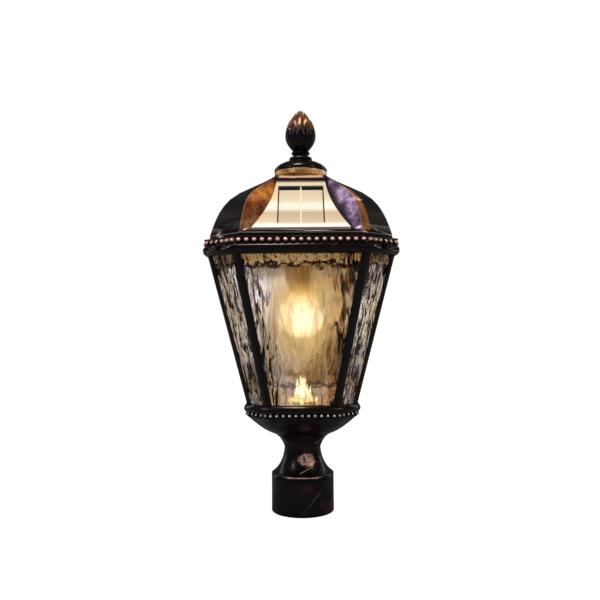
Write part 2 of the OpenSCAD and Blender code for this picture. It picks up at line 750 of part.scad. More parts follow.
module roof_shell() {
    color([0.16, 0.11, 0.09])
        difference() {
            union() {
                shell(roof_outer(), roof_inner());
                for (k = [0:3])
                    rotate(90 * k)
                        roof_boss();
                each_corner()
                    translate([tab_d - tab_t, -tab_w / 2, tab_z])
                        cube([tab_t + fuse, tab_w, dome_z - tab_z]);
            }
            for (x = [-1, 1], y = [-1, 1])
                translate([x * boss_pos, y * boss_pos, tray_top - 1])
                    cylinder(h = tray_screw_grip + 3, r = tray_screw_r + 0.05);
            each_corner()
                translate([tab_d - tab_t - 1, -roof_screw_r - free_gap, tab_z - 1])
                    cube([tab_t + 2, 2 * (roof_screw_r + free_gap),
                        roof_screw_z + roof_screw_r + free_gap - tab_z + 1]);
            for (k = [0:3])
                rotate(90 * k)
                    on_frame() {
                        window_cut();
                        frame_screw_places() {
                            translate([0, 0, -frame_t - 12])
                                cylinder(h = 13, r = frame_screw_r + 0.25);
                            translate([0, 0, -frame_screw_tip - frame_screw_len - 12])
                                cylinder(h = 12, r = frame_screw_r * 1.9 + free_gap);
                        }
                    }
            translate([0, 0, dome_top - 12])
                cylinder(h = shoulder_h + 14, r = stud_r + 0.25);
        }
}

// Panel frames, panels and cells: drawn on the slope with X across, Y up the slope, Z out of the roof

module on_frame() {
    translate([0, -frame_foot_d, frame_z])
        rotate([panel_tilt, 0, 0])
            children();
}

frame_screw_r = 1.5;
// Depth of a screw's tip under the frame's face, and length of its shank through the roof's wall
frame_screw_tip = 1.4;
frame_screw_len = frame_t + roof_wall * sin(panel_tilt) - 1.2;
module frame_screw_places() {
    for (x = [-1, 1])
        translate([x * (frame_w(9) - 8), 9, 0])
            children();
    translate([0, frame_len - 4.5, 0])
        children();
}

module window_cut() {
    translate([-window_w / 2 + 4, window_foot + 4, -frame_t - 12])
        cube([window_w - 8, window_len - 8, 20]);
}

module panel_frame(k) {
    steps = 12;
    side = [for (i = [0:steps]) let (s = frame_len * i / steps) [frame_w(s), s]];
    outline = concat(side, [for (i = [steps:-1:0]) [-side[i][0], side[i][1]]]);
    color([0.82, 0.74, 0.58])
        rotate(90 * k)
            on_frame()
                difference() {
                    translate([0, 0, -frame_t])
                        linear_extrude(frame_t)
                            polygon(outline);
                    translate([-window_w / 2, window_foot, -frame_t - 1])
                        cube([window_w, window_len, frame_t + 2]);
                    translate([-window_w / 2 - panel_lap - 0.2, window_foot - panel_lap - 0.2,
                        -frame_t - 1])
                        cube([window_w + 2 * panel_lap + 0.4, window_len + 2 * panel_lap + 0.4,
                            panel_t + 0.1 + 1]);
                    frame_screw_places()
                        translate([0, 0, -frame_t - 1])
                            cylinder(h = frame_t - 0.2, r = frame_screw_r + 0.05);
                }
}

module solar_panel(k) {
    color([0.1, 0.12, 0.2])
        rotate(90 * k)
            on_frame()
                translate([-window_w / 2 - panel_lap, window_foot - panel_lap, -frame_t])
                    cube([window_w + 2 * panel_lap, window_len + 2 * panel_lap, panel_t]);
}

module solar_cells() {
    cell_w = (window_w - 3 * cell_gap) / 2;
    color([0.06, 0.07, 0.16])
        for (k = [0:3], hand = [-1, 1])
            rotate(90 * k)
                on_frame()
                    translate([hand * (cell_w + cell_gap) / 2 - cell_w / 2, window_foot + cell_gap,
                        panel_t - frame_t])
                        cube([cell_w, window_len - 2 * cell_gap, cell_t]);
}

module frame_screws() {
    color([0.62, 0.6, 0.56])
        for (k = [0:3])
            rotate(90 * k)
                on_frame()
                    frame_screw_places()
                        translate([0, 0, -frame_screw_tip])
                            rotate([180, 0, 0])
                                pan_screw(frame_screw_r, frame_screw_len);
}

// Cap and finial

module roof_cap() {
    color([0.06, 0.05, 0.05])
        translate([0, 0, cap_z])
            difference() {
                rotate_extrude($fn = 96)
                    polygon([[0, 0], [cap_r - 2, 0], [cap_r - 0.4, 0.8], [cap_r, 2.4],
                        [cap_r - 0.5, 4.4], [cap_r * 0.93, cap_h * 0.44],
                        [cap_r * 0.82, cap_h * 0.64], [cap_r * 0.66, cap_h * 0.82],
                        [cap_r * 0.52, cap_h * 0.94], [finial_foot_r + 1.5, cap_h], [0, cap_h]]);
                translate([0, 0, -1])
                    cylinder(h = cap_h + 2, r = stud_r + 0.25);
                rotate_extrude($fn = 96)
                    polygon([[stud_r + 4, -1], [cap_r - 2 * cap_wall, -1],
                        [cap_r - 2 * cap_wall, cap_h * 0.3], [cap_r * 0.5, cap_h - 2 * cap_wall],
                        [stud_r + 4, cap_h - 2 * cap_wall]]);
            }
}

// Outline of the bud: widest a third of the way up, drawn in to a blunt tip
bud_z = 15;
function bud_at(u) = let (w = u < 0.34 ? sin(90 * (0.35 + 0.65 * u / 0.34)) :
    pow(cos(90 * (u - 0.34) / 0.66), 0.82)) bud_r * w;

module finial() {
    bud = [for (i = [0:15]) let (u = i / 16) [bud_at(u), mix(bud_z, finial_h, u)]];
    color([0.1, 0.07, 0.05])
        translate([0, 0, finial_z])
            difference() {
                rotate_extrude($fn = 96)
                    polygon(concat([[0, 0], [finial_foot_r - 0.8, 0], [finial_foot_r, 1],
                        [finial_foot_r - 0.4, 2.6], [finial_foot_r - 3, 3.6], [stem_r + 1.2, 4.6],
                        [stem_r, 6.4], [stem_r + 0.4, 8.6], [stem_r + 1.8, 9.6],
                        [stem_r + 2.2, 11.2], [stem_r + 1, 12.8], [stem_r - 1.8, 13.8]],
                        bud, [[1.6, finial_h - 0.3], [0, finial_h]]));
                translate([0, 0, -1])
                    cylinder(h = stud_depth + 1, r = stud_r);
            }
}

stud_depth = 25;
nut_drop = 5.5;

module finial_stud() {
    color([0.7, 0.68, 0.64])
        translate([0, 0, dome_top - roof_wall - nut_drop - 4])
            cylinder(h = finial_z + stud_depth - 0.3 - dome_top + roof_wall + nut_drop + 4,
                r = stud_r);
}

module finial_nut() {
    color([0.62, 0.6, 0.56])
        translate([0, 0, dome_top - roof_wall - nut_drop - 1])
            difference() {
                union() {
                    hex(13, nut_drop);
                    translate([0, 0, nut_drop])
                        cylinder(h = 1, r = 11);
                }
                translate([0, 0, -1])
                    cylinder(h = nut_drop + 3, r = stud_r);
            }
}

// Ceiling tray and what it carries

tray_z = cage_top + tray_rise;
tray_top = tray_z + tray_t;
tray_screw_r = 1.5;
// How far a tray screw reaches into its boss
tray_screw_grip = 10;

// Battery box over the rear half of the tray, open downwards through the tray
box_in_x = battery_len + 8;
box_in_y = 4 * cell_r + 3 * cell_play;
box_in_z = 2 * cell_r + 2 * cell_play;
box_y = 26;
box_x = box_in_x + 2 * box_wall;
box_depth_y = box_in_y + 2 * box_wall;
cover_t = tray_t;
hinge_y = box_y + box_depth_y + 3;
hinge_z = tray_z - pin_r - 1;
knuckle_r = pin_r + 1.2;

switch_pos = [62, -30];
switch_slot = [switch_travel + 5, 4];

module ceiling_tray() {
    color([0.85, 0.78, 0.58])
        difference() {
            union() {
                prism(tray_a, tray_run, tray_z, tray_t);
                for (x = [-1, 1])
                    translate([x * (box_in_x / 2 - 12) - 3, hinge_y - knuckle_r, hinge_z])
                        union() {
                            cube([6, 2 * knuckle_r, tray_z - hinge_z + fuse]);
                            translate([0, knuckle_r, 0])
                                rotate([0, 90, 0])
                                    cylinder(h = 6, r = knuckle_r);
                        }
            }
            translate([-box_in_x / 2, box_y + box_wall, tray_z - 1])
                cube([box_in_x, box_in_y, tray_t + 2]);
            for (x = [-1, 1])
                translate([x * (box_in_x / 2 - 12) - 4, hinge_y, hinge_z])
                    rotate([0, 90, 0])
                        cylinder(h = 8, r = pin_r + pin_gap);
            for (x = [-1, 1], y = [-1, 1])
                translate([x * boss_pos, y * boss_pos, tray_z - 1])
                    cylinder(h = tray_t + 2, r = tray_screw_r + 0.25);
            translate([switch_pos[0] - switch_slot[0] / 2, switch_pos[1] - switch_slot[1] / 2,
                tray_z - 1])
                cube([switch_slot[0], switch_slot[1], tray_t + 2]);
            translate([0, 0, tray_z - 1])
                cylinder(h = tray_t + 2, r = socket_neck_r + free_gap);
        }
}

module tray_screws() {
    color([0.62, 0.6, 0.56])
        for (x = [-1, 1], y = [-1, 1])
            translate([x * boss_pos, y * boss_pos, tray_top + tray_screw_grip])
                rotate([180, 0, 0])
                    pan_screw(tray_screw_r, tray_t + tray_screw_grip);
}

board_size = [64, 42, 1.6];
board_y = -48;
spacer_h = 7;
board_pin_r = 1.5;

// Circuit board with its charge controller, terminals and coil, fused as one soldered piece
module circuit_board() {
    top = tray_top + spacer_h + board_size[2];
    wide = board_size[0];
    deep = board_size[1];
    color([0.1, 0.35, 0.16])
        difference() {
            union() {
                translate([-board_size[0] / 2, board_y - board_size[1] / 2, tray_top + spacer_h])
                    cube(board_size);
                translate([-wide * 0.14, board_y - deep * 0.14, top - fuse])
                    cube([wide * 0.22, deep * 0.21, 2 + fuse]);
                for (x = [-0.34, -0.22, 0.22, 0.34])
                    translate([(x - 0.045) * wide, board_y + deep * 0.19, top - fuse])
                        cube([wide * 0.09, deep * 0.19, deep * 0.17 + fuse]);
                translate([wide * 0.28, board_y - deep * 0.21, top - fuse])
                    cylinder(h = deep * 0.19 + fuse, r = deep * 0.107);
                translate([-wide * 0.31, board_y - deep * 0.21, top - fuse])
                    cylinder(h = deep * 0.12 + fuse, r = deep * 0.143);
            }
            board_corners()
                translate([0, 0, -1])
                    cylinder(h = board_size[2] + 2, r = board_pin_r + 0.2);
        }
}

module board_corners() {
    for (x = [-1, 1], y = [-1, 1])
        translate([x * (board_size[0] / 2 - 4), board_y + y * (board_size[1] / 2 - 4),
            tray_top + spacer_h])
            children();
}

module board_spacers() {
    color([0.9, 0.9, 0.88])
        board_corners()
            union() {
                translate([0, 0, -spacer_h])
                    cylinder(h = spacer_h, r = 2 * board_pin_r);
                cylinder(h = board_size[2] + 0.4, r = board_pin_r);
                translate([0, 0, board_size[2]])
                    cylinder(h = 1.6, r = board_pin_r + 1.1);
            }
}

module battery_box() {
    color([0.13, 0.13, 0.14])
        difference() {
            translate([-box_x / 2, box_y, tray_top])
                cube([box_x, box_depth_y, box_in_z + box_wall - tray_t]);
            translate([-box_in_x / 2, box_y + box_wall, tray_top - 1])
                cube([box_in_x, box_in_y, box_in_z - tray_t + 1]);
        }
}

function battery_y(i) = box_y + box_wall + cell_play + cell_r + i * (2 * cell_r + cell_play);
battery_z = tray_z + 0.9 + cell_r;

module batteries() {
    color([0.2, 0.45, 0.3])
        for (i = [0, 1])
            translate([-battery_len / 2, battery_y(i), battery_z])
                rotate([0, 90, 0])
                    union() {
                        cylinder(h = battery_len - 1.5, r = cell_r);
                        cylinder(h = battery_len, r = 3);
                    }
}

// Sprung contact strips at both ends of the cells
module battery_contacts() {
    strip = 0.6;
    reach = (box_in_x - battery_len) / 2;
    wide = 0.9 * cell_r;
    color([0.8, 0.68, 0.4])
        for (i = [0, 1], hand = [0, 1])
            mirror([hand, 0, 0])
                translate([-box_in_x / 2, battery_y(i) - wide / 2, battery_z - wide / 2])
                    union() {
                        cube([strip, wide, wide]);
                        translate([strip - 0.1, wide * 0.38, wide * 0.25])
                            cube([reach - strip + 0.1, wide * 0.25, wide * 0.5]);
                    }
}

// Cover under the battery box, hinged at the rear, with its moulded pins
module battery_cover() {
    lap = 2.5;
    pin_len = 10;
    color([0.2, 0.2, 0.21])
        union() {
            translate([-box_in_x / 2 - lap, box_y + box_wall - lap, tray_z - cover_t])
                cube([box_in_x + 2 * lap, hinge_y - knuckle_r - 0.4 - box_y - box_wall + lap,
                    cover_t - free_gap]);
            for (x = [-1, 1]) {
                translate([x * (box_in_x / 2 - 20.5) - 4.5, hinge_y - knuckle_r - 1.5,
                    tray_z - cover_t])
                    cube([9, knuckle_r + 1.5, cover_t - free_gap]);
                translate([x * (box_in_x / 2 - 20.5) - 4.5, hinge_y, hinge_z])
                    rotate([0, 90, 0])
                        cylinder(h = 9, r = knuckle_r - 0.3);
                translate([x * (box_in_x / 2 - 15) - pin_len / 2, hinge_y, hinge_z])
                    rotate([0, 90, 0])
                        cylinder(h = pin_len, r = pin_r);
            }
        }
}

module switch_body() {
    color([0.15, 0.15, 0.16])
        difference() {
            translate([switch_pos[0] - 10, switch_pos[1] - 6, tray_top])
                cube([20, 12, 8]);
            translate([switch_pos[0] - switch_slot[0] / 2, switch_pos[1] - switch_slot[1] / 2,
                tray_top - 1])
                cube([switch_slot[0], switch_slot[1], 5]);
        }
}

module switch_knob() {
    color([0.85, 0.2, 0.15])
        translate([switch_pos[0] - switch_slot[0] / 2 + 0.5, switch_pos[1] - 1.7, tray_z - 3.5])
            cube([4, 3.4, 3.5 + tray_t + 3]);
}

// Lamp socket and bulb

socket_neck_r = 6;
socket_z = tray_z - socket_h;
bulb_shell_r = bulb_cap_r + bulb_gap;

module lamp_socket() {
    color([0.9, 0.88, 0.82])
        difference() {
            union() {
                translate([0, 0, socket_z])
                    rotate_extrude()
                        polygon([[0, 0], [socket_r - 1.5, 0], [socket_r - 0.5, 1], [socket_r - 0.5, 9],
                            [socket_r, 11], [socket_r, socket_h - 6], [socket_r - 3, socket_h],
                            [0, socket_h]]);
                translate([0, 0, tray_z - fuse])
                    cylinder(h = tray_t + 8 + fuse, r = socket_neck_r);
            }
            translate([0, 0, socket_z - 1])
                cylinder(h = socket_h - 4, r = bulb_shell_r);
            translate([0, 0, tray_top + 2])
                cylinder(h = 10, r = 3);
        }
}

bulb_tip_z = tray_z - 5 - 0.6;
bulb_end_z = bulb_tip_z - bulb_len;
cap_len = 26;
housing_len = 20;

module bulb_cap() {
    threads = 6;
    low = bulb_tip_z - cap_len;
    profile = [for (i = [0:2 * threads]) [bulb_cap_r - 0.8 * (i % 2), low + 1 + 17 * i / (2 * threads)]];
    color([0.75, 0.72, 0.66])
        rotate_extrude()
            polygon(concat([[0, low], [bulb_cap_r - 0.8, low]], profile,
                [[bulb_cap_r - 2.2, low + 20], [7, low + 22.5], [4.2, low + 23.2],
                [4, bulb_tip_z - 1], [2.5, bulb_tip_z], [0, bulb_tip_z]]));
}

globe_mid_z = bulb_end_z + globe_r;
housing_r = globe_r * 0.603;
globe_neck_r = housing_r - 0.5;
housing_z = bulb_tip_z - cap_len - housing_len;

module bulb_housing() {
    color([0.93, 0.92, 0.88])
        rotate_extrude()
            polygon([[0, housing_z], [housing_r, housing_z],
                [housing_r * 1.04, housing_z + housing_len * 0.08],
                [mix(housing_r, bulb_cap_r, 0.3), housing_z + housing_len * 0.45],
                [mix(housing_r, bulb_cap_r, 0.75), housing_z + housing_len * 0.75],
                [bulb_cap_r - 0.6, housing_z + housing_len], [0, housing_z + housing_len]]);
}

// Angle from the globe's pole up to the ring where the housing takes over
globe_top_angle = acos(globe_neck_r / globe_r);

module bulb_globe() {
    outer = [for (i = [0:12]) let (th = mix(-90, globe_top_angle, i / 12))
        [globe_r * cos(th), globe_mid_z + globe_r * sin(th)]];
    inner = [for (i = [12:-1:0]) let (th = mix(-90, globe_top_angle, i / 12))
        [max(0, (globe_r - globe_wall) * cos(th)), globe_mid_z + (globe_r - globe_wall) * sin(th)]];
    color([1, 0.97, 0.85, 0.6])
        rotate_extrude()
            polygon(concat([[0, bulb_end_z]], [for (i = [1:12]) outer[i]],
                [[globe_neck_r, housing_z], [globe_neck_r - globe_wall, housing_z]],
                [for (i = [0:11]) inner[i]], [[0, bulb_end_z + globe_wall]]));
}

post_fitter();
set_screw(0);  // set_screw_rear
set_screw(120);  // set_screw_left
set_screw(240);  // set_screw_right
neck_nipple();
nipple_nuts();
base_bowl();
bottom_rim();
base_plate();
base_screws();
reflector_cone();
for (i = [0:7])
    corner_post(i);
pane(7);  // glass_front
pane(1);  // glass_right
pane(3);  // glass_rear
pane(5);  // glass_left
for (i = [0:3])
    pane(2 * i);
glass_clips();
top_rim();
roof_gasket();
roof_screws();
roof_shell();
panel_frame(0);  // panel_frame_front
panel_frame(1);  // panel_frame_right
panel_frame(2);  // panel_frame_rear
panel_frame(3);  // panel_frame_left
solar_panel(0);  // solar_panel_front
solar_panel(1);  // solar_panel_right
solar_panel(2);  // solar_panel_rear
solar_panel(3);  // solar_panel_left
solar_cells();
frame_screws();
roof_cap();
finial();
finial_stud();
finial_nut();
ceiling_tray();
tray_screws();
circuit_board();
board_spacers();
battery_box();
batteries();
battery_contacts();
battery_cover();
switch_body();
switch_knob();
lamp_socket();
bulb_cap();
bulb_housing();
bulb_globe();
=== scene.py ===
"""Looks of a solar post lantern: bronze castings, rippled glass, a lit bulb and four solar panels."""

import logging
from dataclasses import dataclass
from enum import Enum
from functools import reduce
from math import acos, cos, exp, pi, radians, sin

import bmesh
import bpy
from bmesh.types import BMesh, BMFace, BMVert
from bpy.types import ID, Material, Node, NodeSocket, NodeTree, Object
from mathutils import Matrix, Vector, kdtree, noise

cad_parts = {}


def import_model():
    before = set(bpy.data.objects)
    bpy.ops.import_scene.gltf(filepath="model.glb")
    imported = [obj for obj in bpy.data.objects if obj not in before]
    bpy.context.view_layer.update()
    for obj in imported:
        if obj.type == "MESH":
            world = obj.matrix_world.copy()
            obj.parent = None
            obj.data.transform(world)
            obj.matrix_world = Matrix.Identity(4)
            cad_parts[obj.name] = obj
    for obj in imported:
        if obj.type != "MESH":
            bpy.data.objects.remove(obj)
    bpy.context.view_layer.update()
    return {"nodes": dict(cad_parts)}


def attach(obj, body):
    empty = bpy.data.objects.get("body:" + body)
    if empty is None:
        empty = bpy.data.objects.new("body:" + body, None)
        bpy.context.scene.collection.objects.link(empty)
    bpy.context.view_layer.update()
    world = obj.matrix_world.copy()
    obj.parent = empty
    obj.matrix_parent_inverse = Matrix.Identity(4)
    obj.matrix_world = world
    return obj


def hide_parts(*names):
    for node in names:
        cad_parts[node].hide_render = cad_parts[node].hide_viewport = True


LOG = logging.getLogger("lantern")
MM = 0.001
# A map range that eases in and out
SMOOTH = {"interpolation_type": "SMOOTHSTEP"}


class Body(Enum):
    """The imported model's bodies that new pieces ride on."""

    LANTERN = "lantern"
    ROOF = "roof"


# Colours and nodes


def tone(code: str) -> tuple[float, float, float, float]:
    """Turns an sRGB hex colour into a linear one.

    Args:
        code: six hex digits.

    Returns:
        Red, green, blue and an alpha of 1.
    """
    parts = [int(code[i:i + 2], 16) / 255 for i in (0, 2, 4)]
    linear = [c / 12.92 if c <= 0.04045 else ((c + 0.055) / 1.055) ** 2.4 for c in parts]
    return (linear[0], linear[1], linear[2], 1.0)


def grey(value: float) -> tuple[float, float, float, float]:
    """Returns a linear grey."""
    return (value, value, value, 1.0)


@dataclass
class Net:
    """The nodes of one material or world."""

    tree: NodeTree

    def add(self, kind: str, links: dict | tuple | list = (), settings: dict | str | None = None) -> Node:
        """Adds one shader node with its incoming links, socket values and settings.

        Args:
            kind: the node's type without the ShaderNode prefix.
            links: for each input, by its name or in order: a value, a hex colour, an output socket, or a node
                whose first output is meant. A map range takes its value, the two ends that it maps from and
                the two that it maps to.
            settings: attributes of the node by name, or its operation alone.

        Returns:
            The new node.
        """
        node = self.tree.nodes.new("ShaderNode" + kind)
        if isinstance(settings, str):
            settings = {"operation": settings}
        for name, value in (settings or {}).items():
            setattr(node, name, value)
        for key, value in links.items() if isinstance(links, dict) else enumerate(links):
            if isinstance(value, str):
                value = tone(value)
            if isinstance(value, Node):
                value = value.outputs[0]
            if isinstance(value, NodeSocket):
                self.tree.links.new(value, node.inputs[key])
            else:
                node.inputs[key].default_value = value
        return node

    def ramp(self, factor: Node | NodeSocket, stops: list[tuple]) -> Node:
        """Maps a factor to colours.

        Args:
            factor: the value that is looked up.
            stops: positions in rising order, each with a hex colour or a linear one.

        Returns:
            The ramp.
        """
        node = self.add("ValToRGB", (factor,))
        points = node.color_ramp.elements
        while len(points) < len(stops):
            points.new(1.0)
        for point, (place, colour) in zip(points, stops):
            point.position = place
            point.color = tone(colour) if isinstance(colour, str) else colour
        return node

    def mapped(self, scale: tuple[float, float, float] = (1, 1, 1)) -> Node:
        """Returns Object coordinates, scaled for one pattern."""
        return self.add("Mapping", {"Vector": self.add("TexCoord").outputs["Object"], "Scale": scale})

    def layered(self, base: Node, *layers: tuple) -> Node:
        """Lays colours over a base colour.

        Args:
            base: the colour at the bottom.
            layers: a mask and a colour each, from the bottom up; the colour shows where the mask is 1.

        Returns:
            The mixed colour.
        """
        for mask, colour in layers:
            base = self.add("MixRGB", (mask, base, colour))
        return base

    def away(self, value: Node | NodeSocket, level: float) -> Node:
        """Returns how far a value is from a level."""
        return self.add("Math", (self.add("Math", (value, level), "SUBTRACT"),), "ABSOLUTE")

    def off_middle(self, parts: Node) -> Node:
        """Returns the distance to the middle line of the nearest of the four sides."""
        both = [self.add("Math", (parts.outputs[axis],), "ABSOLUTE") for axis in "XY"]
        return self.add("Math", both, "MINIMUM")


# Finishes


@dataclass(frozen=True)
class Finish:
    """A named surface finish that makes its own material."""

    name: str

    def surface(self, net: Net) -> Node:
        """Makes the finish from nodes.

        Args:
            net: the material's nodes.

        Returns:
            The shader that gives the finish.
        """
        raise NotImplementedError

    def build(self) -> Material:
        """Returns the material."""
        material = bpy.data.materials.new(self.name)
        material.use_nodes = True
        material.node_tree.nodes.clear()
        net = Net(material.node_tree)
        net.add("OutputMaterial", {"Surface": self.surface(net)})
        return material


@dataclass(frozen=True)
class RubbedBronze(Finish):
    """Oil-rubbed bronze on a sand casting: a near-black coat, warm metal where it is rubbed, and painted
    highlights.
    """

    coat: str = "0b0706"
    rub: str = "3a1c12"
    gold: str = "7a4a2c"
    # Share of the surface where the coat is rubbed thin
    rubbed: float = 0.2
    roughness: float = 0.3
    # Size of a patina cloud, of the casting's grain and of a fleck in a painted highlight spot, in
    # millimetres
    cloud_mm: float = 26.0
    grain_mm: float = 1.6
    fleck_mm: float = 3.2
    bump_mm: float = 0.05
    metallic: float = 0.45
    # Colour of painted highlights, and their places: a mesh attribute that is 1 there, round spots (x, y, z,
    # three radii) and thin lines on the front (x and z of both ends, half width)
    bright: str = "b98672"
    glint_attribute: str = ""
    spots: tuple = ()
    glint_lines: tuple = ()
    # Heights, in millimetres, between which the coat gives way to a golden rub, or None
    gilt: tuple[float, float] | None = None

    def spot(self, net: Net, place: Node, ragged: Node, centre: tuple, radii: tuple) -> Node:
        """Makes a bright spot, a painted highlight.

        Args:
            net: the material's nodes.
            place: the coordinates.
            ragged: the noise that frays the spot's edge.
            centre: the spot's middle, in millimetres.
            radii: its three radii, in millimetres.

        Returns:
            A mask that is 1 inside the ragged ellipsoid, but for some flecks.
        """
        moved = net.add("VectorMath", (place, tuple(c * MM for c in centre)), "SUBTRACT")
        scaled = net.add("VectorMath", (moved, tuple(r * MM for r in radii)), "DIVIDE")
        far = net.add("VectorMath", (scaled,), "LENGTH")
        rough = net.add("Math", (ragged, -1.1, far.outputs["Value"]), "MULTIPLY_ADD")
        mask = net.add("MapRange", (rough, 0.1, 0.45, 1.0, 0.0), SMOOTH)
        flecks = net.add("TexNoise", {
            "Vector": place, "Scale": 1 / (self.fleck_mm * MM), "Detail": 4.0, "Roughness": 0.6})
        left = net.add("MapRange", (flecks, 0.36, 0.54))
        return net.add("Math", (mask, left), "MULTIPLY")

    def glint_line(self, net: Net, place: Node, ragged: Node, start: tuple, end: tuple, half: float) -> Node:
        """Makes a thin, broken, slanting bright line on the front, a painted highlight.

        Args:
            net: the material's nodes.
            place: the coordinates.
            ragged: the noise that breaks the line.
            start: x and z of its left end, in millimetres.
            end: x and z of its right end, in millimetres.
            half: half its width, in millimetres.

        Returns:
            A mask that is 1 along the line.
        """
        parts = net.add("SeparateXYZ", (place,))
        run = abs(end[0] - start[0]) * MM
        slope = (end[1] - start[1]) / (end[0] - start[0])
        line = net.add("Math", (parts.outputs["X"], -slope, parts.outputs["Z"]), "MULTIPLY_ADD")
        away = net.away(line, (start[1] - slope * start[0]) * MM)
        reach = net.away(parts.outputs["X"], (start[0] + end[0]) / 2 * MM)
        mask = net.add("MapRange", (away, 0.0, half * MM, 1.0, 0.0), SMOOTH)
        inside = net.add("MapRange", (reach, run * 0.3, run * 0.5, 1.0, 0.0), SMOOTH)
        gaps = net.add("MapRange", (ragged, 0.35, 0.6))
        front = net.add("Math", (parts.outputs["Y"], 0.0), "LESS_THAN")
        for part in (inside, gaps, front):
            mask = net.add("Math", (mask, part), "MULTIPLY")
        return mask

    def surface(self, net: Net) -> Node:
        """Returns the finish's shader, see Finish.surface."""
        place = net.mapped()
        cloud, grain, ragged = (
            net.add("TexNoise", {
                "Vector": place, "Scale": 1 / (size * MM), "Detail": detail, "Roughness": rough})
            for size, detail, rough in ((self.cloud_mm, 5.0, 0.62), (self.grain_mm, 4.0, 0.7), (5, 5.0, 0.7)))
        mixed = net.add("Math", (grain, 0.3, cloud), "MULTIPLY_ADD")
        low = 0.92 - 0.42 * self.rubbed
        colour = net.ramp(mixed, [
            (low - 0.12, self.coat), (low, self.rub), (min(1.0, low + 0.16), self.gold)])
        if self.gilt:
            height = net.add("SeparateXYZ", (place,)).outputs["Z"]
            rise = net.add("MapRange", (height, self.gilt[0] * MM, self.gilt[1] * MM, 0.0, 0.75), SMOOTH)
            metal = net.ramp(cloud, [(0.35, "5a3018"), (0.52, "9a6434"), (0.68, "c89c66")])
            colour = net.layered(colour, (rise, metal))
        # Painted highlights: bright spots, bright lines along edges, and the places that a mesh attribute
        # marks
        glints = [self.spot(net, place, ragged, spot[:3], spot[3:]) for spot in self.spots]
        glints += [self.glint_line(net, place, ragged, line[:2], line[2:4], line[4]) for line in self.glint_lines]
        if self.glint_attribute:
            glints.append(net.add("Attribute", settings={"attribute_name": self.glint_attribute}).outputs["Fac"])
        colour = net.layered(colour, *((mask, self.bright) for mask in glints))
        rough = net.add("MapRange", (grain, 0.0, 1.0, self.roughness * 0.75, self.roughness * 1.3))
        bump = net.add("Bump", {"Height": grain, "Strength": 0.6, "Distance": self.bump_mm * MM})
        return net.add("BsdfPrincipled", {
            "Base Color": colour, "Metallic": self.metallic, "Roughness": rough, "Normal": bump,
            "Coat Weight": 0.2, "Coat Roughness": 0.1})


